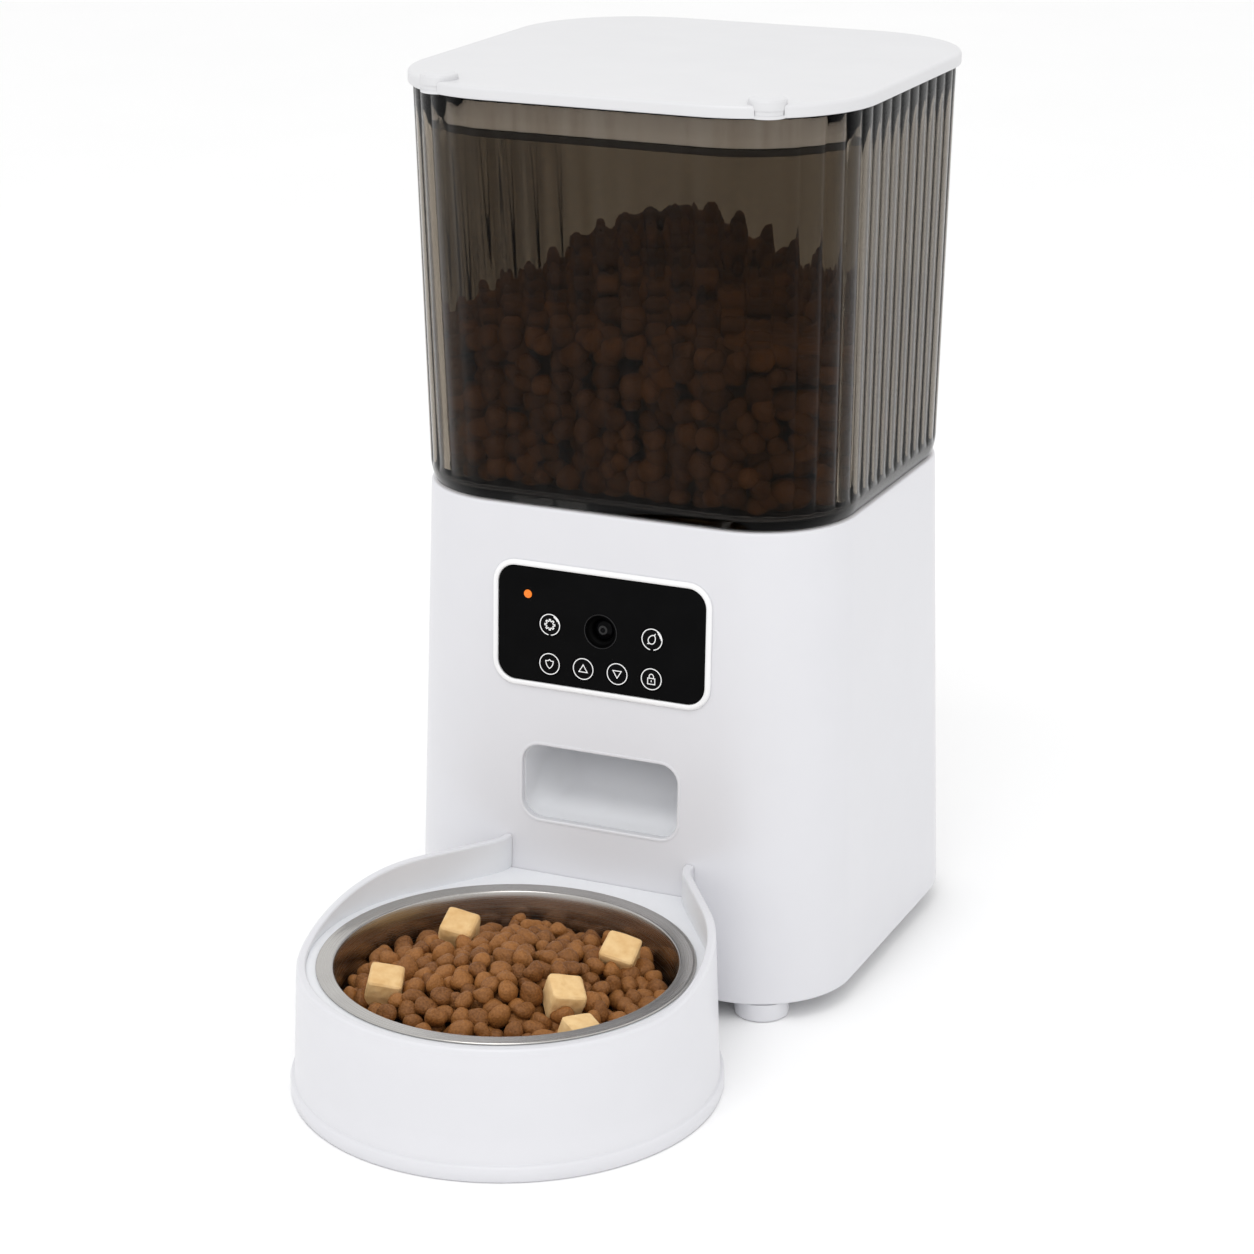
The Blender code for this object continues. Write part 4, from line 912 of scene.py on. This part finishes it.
def make_seal():
    high = SKIRT_FOOT_Z - 0.0003
    low = high - 0.0028
    profile = soften([(-0.0003, low), (-0.0003, high), (0.0034, high), (0.0034, low)],
                     [0.0012, 0.0004, 0.0004, 0.0006], 4, ring=True)
    loops = [
        lifted(rounded(*tank_size(SKIRT_FOOT_Z, TANK_WALL + 0.0012 + inset), 24), z)
        for inset, z in profile
    ]
    seal = loft("seal_ring", loops, RUBBER, ring=True, sharp=60)
    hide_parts("lid_seal")
    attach(seal, "lid")


# ---------------------------------------------------------------- bowl and holder

WING_HALF_GAP, WING_ANGLE, WING_FILLET = 0.0422, math.radians(35), 0.020
FLANGE_RADIUS, FLANGE_HEIGHT = 0.085, 0.0064
HOLDER_FOOT_RADIUS, HOLDER_TOP_RADIUS, HOLDER_WALL = 0.0833, 0.0813, 0.0036
DECK_Z, FRONT_WALL_Z, WING_Z = 0.0507, 0.0525, 0.0652
WELL_RADIUS = 0.0705


def holder_outline(radius, inset, back_y):
    """Round in front, with two straight wings that turn square to the body."""
    half_gap, fillet = WING_HALF_GAP - inset, WING_FILLET + inset
    ahead = (-math.sin(WING_ANGLE), math.cos(WING_ANGLE))
    leave = (radius * math.cos(WING_ANGLE), BOWL_Y + radius * math.sin(WING_ANGLE))
    reach = (leave[0] - half_gap) / -ahead[0]
    tangent = fillet * math.tan(WING_ANGLE / 2)
    turn_centre = (half_gap + fillet, leave[1] + ahead[1] * reach + tangent)
    turn_end = math.pi + math.asin((turn_centre[1] - back_y) / fillet)
    right = arc(turn_centre, fillet, math.pi + WING_ANGLE, turn_end, 14)
    right = [
        (between(leave[0], right[0][0], i / 6), between(leave[1], right[0][1], i / 6))
        for i in range(1, 6)
    ] + right
    left = [(-x, y) for x, y in reversed(right)]
    bow = arc((0, BOWL_Y), radius, math.pi - WING_ANGLE, 2 * math.pi + WING_ANGLE, 120)
    return left + bow + right


def wall_top(y):
    """How high the holder's wall is at a distance in front of the body's axis."""
    return between(FRONT_WALL_Z, WING_Z, eased((y + 0.208) / (0.208 - 0.124)))


def make_holder():
    """The wall is a strip whose top follows wall_top. The deck is a plate with the bowl's well in it."""
    gap = 0.0003
    back = front_y(BODY_FOOT_Z) - gap
    # Each row of the flange: radius, inset of the wings, height.
    flange = [
        (FLANGE_RADIUS - 0.0006, -0.0011, 0.0), (FLANGE_RADIUS, -0.0017, 0.0008),
        (FLANGE_RADIUS, -0.0017, FLANGE_HEIGHT - 0.0011),
        (FLANGE_RADIUS - 0.00025, -0.0014, FLANGE_HEIGHT - 0.0004),
        (FLANGE_RADIUS - 0.0008, -0.0009, FLANGE_HEIGHT),
        (HOLDER_FOOT_RADIUS + 0.0003, -0.0003, FLANGE_HEIGHT + 0.0001),
        (HOLDER_FOOT_RADIUS, 0.0, FLANGE_HEIGHT + 0.0004),
    ]

    def row(radius, inset, height_of):
        outline = holder_outline(radius, inset, back)
        made = []
        for x, y in outline:
            z = height_of(y)
            follow = front_y(max(z, BODY_FOOT_Z)) - gap
            made.append((x, (follow if y >= back - 1e-6 else y) + BODY_Y, z))
        return made

    loops = [row(radius, inset, lambda y, z=z: z) for radius, inset, z in flange]
    for share in (0.25, 0.5, 0.75, 0.93):
        radius = between(HOLDER_FOOT_RADIUS, HOLDER_TOP_RADIUS, share)
        loops.append(row(radius, 0.0, lambda y, s=share: between(FLANGE_HEIGHT, wall_top(y), s)))
    lip = soften([(0, -0.0030), (0, 0), (HOLDER_WALL, 0), (HOLDER_WALL, -0.0018)],
                 [0, 0.0017, 0.0013, 0], 6)
    for inset, drop in lip:
        loops.append(row(HOLDER_TOP_RADIUS - inset, inset, lambda y, d=drop: wall_top(y) + d))
    for share in (0.0, 0.5, 0.9):
        loops.append(row(HOLDER_TOP_RADIUS - HOLDER_WALL, HOLDER_WALL,
                         lambda y, s=share: between(wall_top(y) - 0.0018, DECK_Z + 0.0004, s)))
    under = DECK_Z - 0.0026
    for z in (under + 0.0004, 0.0):
        loops.append(row(HOLDER_TOP_RADIUS - 0.0026, 0.0026, lambda y, z=z: z))
    holder = loft("holder", loops, WHITE, ring=True, sharp=50, strip=True)
    holder.data.materials.append(LIT_INNER_WHITE)
    for face in holder.data.polygons:  # the faces that look in over the bowl get the paler white: painted light
        across = face.center - Vector((0, BODY_Y + BOWL_Y, 0))
        if face.normal.xy.dot(across.xy) < 0 and face.normal.z < 0.4:
            face.material_index = 1

    edge = 0.0012
    rim = row(HOLDER_TOP_RADIUS - HOLDER_WALL + 0.0006, HOLDER_WALL - 0.0006, lambda y: DECK_Z)
    first, last = rim[0], rim[-1]
    rim += [(between(last[0], first[0], i / 24), last[1], DECK_Z) for i in range(1, 24)]
    inner = [math.atan2(y - BODY_Y - BOWL_Y, x) for x, y, _ in rim]

    def well(radius, z):
        return [(radius * math.cos(a), BODY_Y + BOWL_Y + radius * math.sin(a), z) for a in inner]

    loops = [
        rim, well(WELL_RADIUS + edge, DECK_Z), well(WELL_RADIUS + edge * 0.3, DECK_Z - edge * 0.3),
        well(WELL_RADIUS, DECK_Z - edge), well(WELL_RADIUS, under),
        [(x, y, under) for x, y, _ in rim],
    ]
    # The deck is the paler white too: painted light.
    deck = loft("holder_deck", loops, LIT_INNER_WHITE, ring=True, sharp=50)
    half_width, half_thick = 0.0392, 0.0013
    outline = rounded(half_width, half_thick, 0.0006, 4)
    wall = prism("holder_rear", outline, 0.0, under - 0.0001, at(0, back - half_thick, 0), WHITE)
    for piece in (deck, wall):
        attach(piece, "root")
    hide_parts("bowl_holder")
    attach(holder, "root")


def make_bowl():
    rim, foot, wall = BOWL_RIM_Z, 0.012, 0.0008
    inside = [(0, foot + wall), (0.0485, foot + wall)]
    inside += arc((0.0530, 0.0240), 0.0112, -math.pi / 2 + 0.35, 0, 10)
    inside += [(0.0650, 0.032), (0.0664, rim - 0.0035)]
    lip = soften([(0.0664, rim - 0.0035), (0.0672, rim - 0.0003), (0.0724, rim - 0.0002),
                  (0.0735, rim), (0.0740, rim - 0.0005), (0.0737, rim - 0.0009), (0.0725, rim - 0.0010),
                  (0.0682, rim - 0.0010), (0.0672, rim - 0.0045)],
                 [0, 0.0010, 0.0008, 0.0005, 0.0004, 0.0003, 0.0003, 0.0010, 0], 5)
    outside = [(0.0658, 0.032)] + arc((0.0530, 0.0240), 0.0120, 0, -math.pi / 2, 8) + [(0, foot)]
    bowl = turned("bowl_shell", inside + lip[1:] + outside, BOWL_STEEL,
                  at(0, BOWL_Y, 0), 180, sharp=60)
    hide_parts("bowl")
    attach(bowl, "bowl")


# ---------------------------------------------------------------- food

SIZE_RANGE = (0.78, 1.15)  # a ball's size against the usual one
MOST_BALLS = 6000
MOST_MISSES = 400  # drops in a row that find no room before a heap counts as full
TOP_LAYER = 14  # balls remembered in each cell: those below can't be touched any more
MOST_IN_PIECE = 600  # balls in one piece, which keeps it under 200,000 faces
TREAT_SIZE = 0.0138


def set_tone(mesh, tones):
    """Gives each vertex the tone that the food materials read. One number serves them all."""
    if np.isscalar(tones):
        tones = [tones] * len(mesh.vertices)
    mesh.attributes.new("tone", "FLOAT", "POINT").data.foreach_set("value", tones)


def ball_shapes(kinds, subdivisions, seed, lumps=0.03):
    """Slightly lumpy balls of radius 1, as arrays of points, with the faces they share."""
    work = bmesh.new()
    bmesh.ops.create_icosphere(work, subdivisions=subdivisions, radius=1.0)
    points = np.array([v.co for v in work.verts])
    faces = np.array([[v.index for v in f.verts] for f in work.faces])
    work.free()
    random_numbers = np.random.default_rng(seed)
    shapes = []
    for _ in range(kinds):
        swell = np.zeros(len(points))
        for _ in range(8):
            way = random_numbers.normal(size=3)
            way *= random_numbers.uniform(1.6, 4.6) / np.linalg.norm(way)
            swell += np.sin(points @ way + random_numbers.uniform(0, 6.3)) * lumps
        squash = 1 + random_numbers.uniform(-1.0, 0.8, 3) * lumps * 3.2
        squash[0] *= 1 + 7 * lumps * random_numbers.uniform() ** 2
        waist = 1 - 3 * lumps * random_numbers.uniform() * np.exp(-(points[:, 0] / 0.35) ** 2)
        shapes.append(points * (1 + swell)[:, None] * squash * waist[:, None])
    return shapes, faces


def many(name, places, sizes, shapes, faces, material, seed):
    """One mesh of many balls, each turned its own way, with a tone of its own."""
    random_numbers = np.random.default_rng(seed)
    points, all_faces, tones = [], [], []
    for place, size in zip(places, sizes):
        turn, _ = np.linalg.qr(random_numbers.normal(size=(3, 3)))
        if np.linalg.det(turn) < 0:
            turn[:, 0] *= -1
        shape = shapes[random_numbers.integers(len(shapes))]
        all_faces.append(faces + len(points) * len(shape))
        points.append(shape @ turn.T * size + place)
        tones.append(np.full(len(shape), random_numbers.uniform(0.35, 0.85)))
    mesh = bpy.data.meshes.new(name)
    mesh.from_pydata(np.concatenate(points).tolist(), [], np.concatenate(all_faces).tolist())
    set_tone(mesh, np.concatenate(tones).astype(np.float32))
    mesh.shade_smooth()
    mesh.materials.append(material)
    return linked(name, mesh)


def settle(inside, heap, start, size, spread, seed, tries, snug):
    """Drops balls one by one where the heap is furthest below its wished-for height.
    inside(x, y, r) says whether a ball fits, heap(x, y) is that height, and start(x, y, r) is
    where a ball rests on the floor. Below 1, snug lets balls sink into each other a little."""
    numbers = np.random.default_rng(seed)
    cell = size * 2.4  # wide enough that a ball touches only its own cell's balls and its neighbours'
    grid = {}
    placed = []

    def resting(x, y, r):
        z = start(x, y, r)
        gx, gy = int(x // cell), int(y // cell)
        for i in (gx - 1, gx, gx + 1):
            for j in (gy - 1, gy, gy + 1):
                for px, py, pz, pr in grid.get((i, j), ()):
                    flat = (px - x) ** 2 + (py - y) ** 2
                    reach = (pr + r) * snug
                    if flat < reach * reach:
                        z = max(z, pz + math.sqrt(reach * reach - flat))
        return z

    misses = 0
    while len(placed) < MOST_BALLS and misses < MOST_MISSES:
        best = None
        for _ in range(tries):
            x, y = numbers.uniform(*spread[0]), numbers.uniform(*spread[1])
            r = size * numbers.uniform(*SIZE_RANGE)
            if not inside(x, y, r):
                continue
            z = resting(x, y, r)
            room = heap(x, y) - z - r
            if room > 0 and (best is None or z - 0.6 * heap(x, y) < best[0]):
                best = (z - 0.6 * heap(x, y), x, y, z, r)
        if best is None:
            misses += 1
            continue
        _, x, y, z, r = best
        misses = 0
        placed.append((x, y, z, r))
        key = (int(x // cell), int(y // cell))
        grid.setdefault(key, []).append((x, y, z, r))
        pile = grid[key]
        if len(pile) > TOP_LAYER:
            del pile[:-TOP_LAYER]
    return placed


def in_rounded(x, y, half_x, half_y, corner):
    x, y = abs(x), abs(y)
    over_x, over_y = x - (half_x - corner), y - (half_y - corner)
    if x > half_x or y > half_y:
        return False
    return not (over_x > 0 and over_y > 0) or math.hypot(over_x, over_y) < corner


def make_bowl_food():
    floor, curve, wall = 0.0130, 0.011, 0.0652
    edge_z, peak, seen_depth = 0.0436, 0.0130, 0.021
    foot_reach, side_reach, under = 0.0082, 0.0122, 0.009
    treats = treat_places()

    def inner_radius(z):
        """The bowl's inside at a height: a curve at its foot and a nearly upright wall."""
        if z >= floor + curve:
            return 0.0650
        return 0.0525 + 0.0118 * math.sqrt(min(1.0, max(0.0, (z - floor) / curve)))

    def heap(x, y):
        share = math.hypot(x, y) / 0.066
        return edge_z + peak * (1 - eased(share)) + 0.001 * math.sin(x * 90) * math.cos(y * 70)

    def inside(x, y, r):
        return math.hypot(x, y) + r < wall

    def clear_of_treats(x, y, z):
        """A ball may lie under a treat or cover its foot, but not its sides."""
        for treat_x, treat_y, treat_z, *_ in treats:
            away = math.hypot(x - treat_x, y - treat_y)
            reach = foot_reach if z < treat_z + 0.0005 else side_reach
            if away <= reach and z >= treat_z - under:
                return False
        return True

    def start(x, y, r):
        away = math.hypot(x, y) + r
        z = floor + r
        while inner_radius(z) < away and z < 0.03:
            z += 0.001
        return z

    spread = ((-wall, wall), (-wall, wall))
    placed = settle(inside, heap, start, KIBBLE_RADIUS, spread, seed=11, tries=8, snug=0.80)
    kept = [
        (x, y, z, r) for x, y, z, r in placed
        if z > heap(x, y) - seen_depth and clear_of_treats(x, y, z)
    ]
    shapes, faces = ball_shapes(14, 3, 5, 0.048)
    places = [np.array([x, y + BODY_Y + BOWL_Y, z]) for x, y, z, _ in kept]
    sizes = [r for *_, r in kept]
    food = many("bowl_kibble", places, sizes, shapes, faces, KIBBLE, 3)
    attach(food, "bowl")
    # A solid under the visible food, toned near black: painted shade in the gaps.
    core = 0.0585
    profile = [(0, floor + 0.003), (0.050, floor + 0.003), (0.058, 0.024), (core, 0.036)]
    profile += [(core * (1 - i / 8), heap(core * (1 - i / 8), 0) - 0.0125) for i in range(9)]
    heart = turned("bowl_kibble_shade_core", profile, KIBBLE, at(0, BOWL_Y, 0), 64)
    set_tone(heart.data, BOWL_CORE_SHADE_TONE)
    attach(heart, "bowl")


def treat_places():
    """Where the baked cubes lie on the heap: x, y from the bowl's middle, height, turn and tilt."""
    return [
        (-0.0343, 0.0270, 0.0463, 0.10, 0.34), (-0.0396, -0.0262, 0.0441, 0.34, 0.30),
        (0.0331, 0.0336, 0.0451, 0.05, 0.40), (0.0306, -0.0126, 0.0469, 0.62, 0.36),
        (0.0465, -0.0315, 0.0418, 0.95, 0.2),
    ]


def make_treats():
    numbers = random.Random(9)
    for index, (x, y, z, turn, tilt) in enumerate(treat_places()):
        work = bmesh.new()
        bmesh.ops.create_cube(work, size=TREAT_SIZE)
        bmesh.ops.bevel(
            work, geom=work.edges[:], offset=0.0021, segments=3, affect="EDGES", profile=0.6
        )
        bmesh.ops.subdivide_edges(work, edges=work.edges[:], cuts=3, use_grid_fill=True)
        for vert in work.verts:
            p = vert.co * 260
            wobble = math.sin(p.x * 1.7 + index) * math.cos(p.y * 1.3 - index)
            wobble += math.sin(p.z * 2.1 + 2 * index)
            vert.co *= 1 + 0.018 * wobble + numbers.uniform(-0.006, 0.006)
            vert.co.z *= 0.90
            taper = 1 - 5.0 * vert.co.z * math.sin(index * 2 + 1)
            vert.co.x *= taper
            vert.co.y *= taper
        mesh = bpy.data.meshes.new(f"treat_{index + 1}")
        work.to_mesh(mesh)
        work.free()
        set_tone(mesh, 0.42 + 0.05 * index)
        mesh.transform(
            at(x, BOWL_Y + y, z) @ Matrix.Rotation(turn, 4, "Z") @ Matrix.Rotation(tilt, 4, "X")
            @ Matrix.Rotation(tilt * 0.6, 4, "Y")
        )
        mesh.shade_smooth()
        mesh.materials.append(TREAT)
        treat = linked(f"treat_{index + 1}", mesh)
        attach(treat, "bowl")


def make_tank_food():
    floor, throat = TANK_FOOT_Z + 0.0034, 0.047
    edge_z, peak = 0.2800, 0.0360
    middle_z = 0.245
    skin = STORED_RADIUS * 3.6
    core_inset, core_top_z, core_drop = TANK_WALL + 0.0105, 0.262, 0.011

    def heap(x, y):
        edge = max(abs(x) / 0.090, abs(y) / 0.086)
        top = edge_z + peak * (1 - eased(math.hypot(x + 0.004, y) / 0.088))
        return top + 0.0015 * math.sin(x * 120) * math.cos(y * 100) - 0.002 * eased(edge * 2 - 1)

    def room(z, r):
        """Where a ball's middle may be at a height. The tank's inner corner is round at its foot."""
        foot = 0.0035 * eased((floor + 0.012 - z) / 0.008)
        return tank_size(z, TANK_WALL + r * 1.06 + 0.0004 + foot)

    def inside(x, y, r):
        return in_rounded(x, y, *room(middle_z, r))

    def start(x, y, r):
        if math.hypot(x, y) < throat:
            return floor + r + 0.012
        flat = in_rounded(x, y, *tank_size(TANK_FOOT_Z, TANK_WALL + r + 0.004))
        return floor + r + (0.0 if flat else 0.003)

    spread = ((-0.0905, 0.0905), (-0.0885, 0.0885))
    placed = settle(inside, heap, start, STORED_RADIUS, spread, seed=21, tries=12, snug=0.78)
    kept = []
    for x, y, z, r in placed:
        while not in_rounded(x, y, *room(z, r)):
            x, y = x * 0.99, y * 0.99
        near_wall = not in_rounded(x, y, *tank_size(z, TANK_WALL + skin))
        if near_wall or z > heap(x, y) - skin:
            kept.append((x, y, z, r))
    shapes, faces = ball_shapes(12, 3, 8, 0.026)
    order = sorted(kept, key=lambda p: math.atan2(p[1], p[0]))
    batches = [order[i:i + MOST_IN_PIECE] for i in range(0, len(order), MOST_IN_PIECE)]
    for index, batch in enumerate(batches):
        places = [np.array([x, y + BODY_Y, z]) for x, y, z, _ in batch]
        sizes = [r for *_, r in batch]
        food = many(f"tank_kibble_{index + 1}", places, sizes, shapes, faces, SHADED_STORED, index)
        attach(food, "tank")
    # A solid under the stored food, toned darker than any piece: painted shade in the gaps.
    loops = []
    for z in np.linspace(floor + 0.002, core_top_z, 6):
        loops.append(lifted(rounded(*tank_size(z, core_inset), 18), z))
    for share in (0.95, 0.85, 0.7, 0.5, 0.3, 0.12):
        outline = rounded(*(length * share for length in tank_size(core_top_z, core_inset)), 18)
        loops.append([(x, y + BODY_Y, heap(x, y) - core_drop) for x, y in outline])
    heart = loft("tank_kibble_shade_core", loops, SHADED_STORED, sharp=60)
    set_tone(heart.data, TANK_CORE_SHADE_TONE)
    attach(heart, "tank")


# ---------------------------------------------------------------- carried-over nodes

NODE_LOOKS = {
    "top_deck": LIT_INNER_WHITE, "base_plate": WHITE, "base_screw_1": STEEL, "base_screw_2": STEEL,
    "base_screw_3": STEEL, "base_screw_4": STEEL, "panel_board": BOARD, "camera_board": BOARD,
    "main_board": BOARD, "hopper": LIT_INNER_WHITE, "food_wheel": NATURAL, "agitator": GREY_VANE,
    "output_gear": NATURAL, "idler_gear": NATURAL, "motor_pinion": NATURAL, "idler_pin": STEEL,
    "drive_shaft": STEEL, "gearbox_base": LIT_INNER_WHITE, "gearbox_cover": LIT_INNER_WHITE, "motor": STEEL,
    "battery_1": CELL, "battery_2": CELL, "battery_3": CELL, "battery_spring_1": STEEL,
    "battery_spring_2": STEEL, "battery_spring_3": STEEL, "battery_contact": STEEL,
    "battery_box": LIT_INNER_WHITE, "battery_door": WHITE, "speaker": MATTE, "dc_jack": MATTE,
    "lid_hinge_pin": STEEL, "desiccant_box": LIT_INNER_WHITE, "desiccant_cover": LIT_INNER_WHITE,
}


def dress_nodes():
    for name, material in NODE_LOOKS.items():
        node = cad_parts[name]
        node.data.materials.clear()
        node.data.materials.append(material)
        node.data.shade_smooth()
        node.data.set_sharp_from_angle(angle=math.radians(35))


# ---------------------------------------------------------------- stage


def make_stage():
    n = Nodes("floor_paint")
    shader = n.principled(Specular_IOR_Level=0.1)
    n.link(n.ramp(n.noise(6, 3), [(0.3, (0.965, 0.965, 0.965)), (0.7, (0.975, 0.975, 0.975))]),
           shader.inputs["Base Color"])
    n.link(n.spread(n.noise(20, 3), 0.55, 0.65), shader.inputs["Roughness"])
    paint = n.done(shader.outputs["BSDF"])
    size = 14.0
    floor = mesh_object("floor", [(-size, -size, 0), (size, -size, 0), (size, size, 0), (-size, size, 0)],
                        [(0, 1, 2, 3)], paint)
    floor.location.z = -0.0002

    world = bpy.data.worlds.new("studio")
    bpy.context.scene.world = world
    world.use_nodes = True
    world.node_tree.nodes["Background"].inputs["Color"].default_value = (1, 1, 1, 1)
    world.node_tree.nodes["Background"].inputs["Strength"].default_value = 1.0

    def lamp(name, place, aim, size, power):
        light = bpy.data.lights.new(name, "AREA")
        light.shape = "RECTANGLE"
        light.size, light.size_y = size
        light.energy = power
        made = linked(name, light)
        made.location = place
        made.rotation_mode = "QUATERNION"
        made.rotation_quaternion = (Vector(aim) - Vector(place)).to_track_quat("-Z", "Y")

    lamp("key", (0.10, -0.95, 1.85), (0, 0.03, 0.15), (0.9, 0.7), 7.0)
    lamp("fill", (0.75, -1.35, 1.15), (0, -0.05, 0.10), (0.9, 0.9), 2.5)


def make_camera():
    azimuth, elevation, distance = math.radians(24.07), math.radians(18.89), 1.34747
    target = Vector((-0.00058, 0.0194, 0.15164))
    back = Vector((math.sin(azimuth) * math.cos(elevation), -math.cos(azimuth) * math.cos(elevation),
                   math.sin(elevation)))
    data = bpy.data.cameras.new("camera")
    data.lens, data.sensor_width = 94.61, 36.0
    data.clip_start, data.clip_end = 0.05, 60.0
    camera = linked("camera", data)
    camera.location = target + back * distance
    camera.rotation_mode = "QUATERNION"
    camera.rotation_quaternion = (-back).to_track_quat("-Z", "Y")
    bpy.context.scene.camera = camera
    bpy.context.scene.view_settings.view_transform = "Standard"


make_camera()
make_stage()
make_shell()
make_feet()
make_chute()
make_panel()
make_keys()
make_camera_eye()
make_tank()
make_lid()
make_seal()
make_holder()
make_bowl()
make_bowl_food()
make_treats()
make_tank_food()
dress_nodes()

bpy.context.view_layer.update()
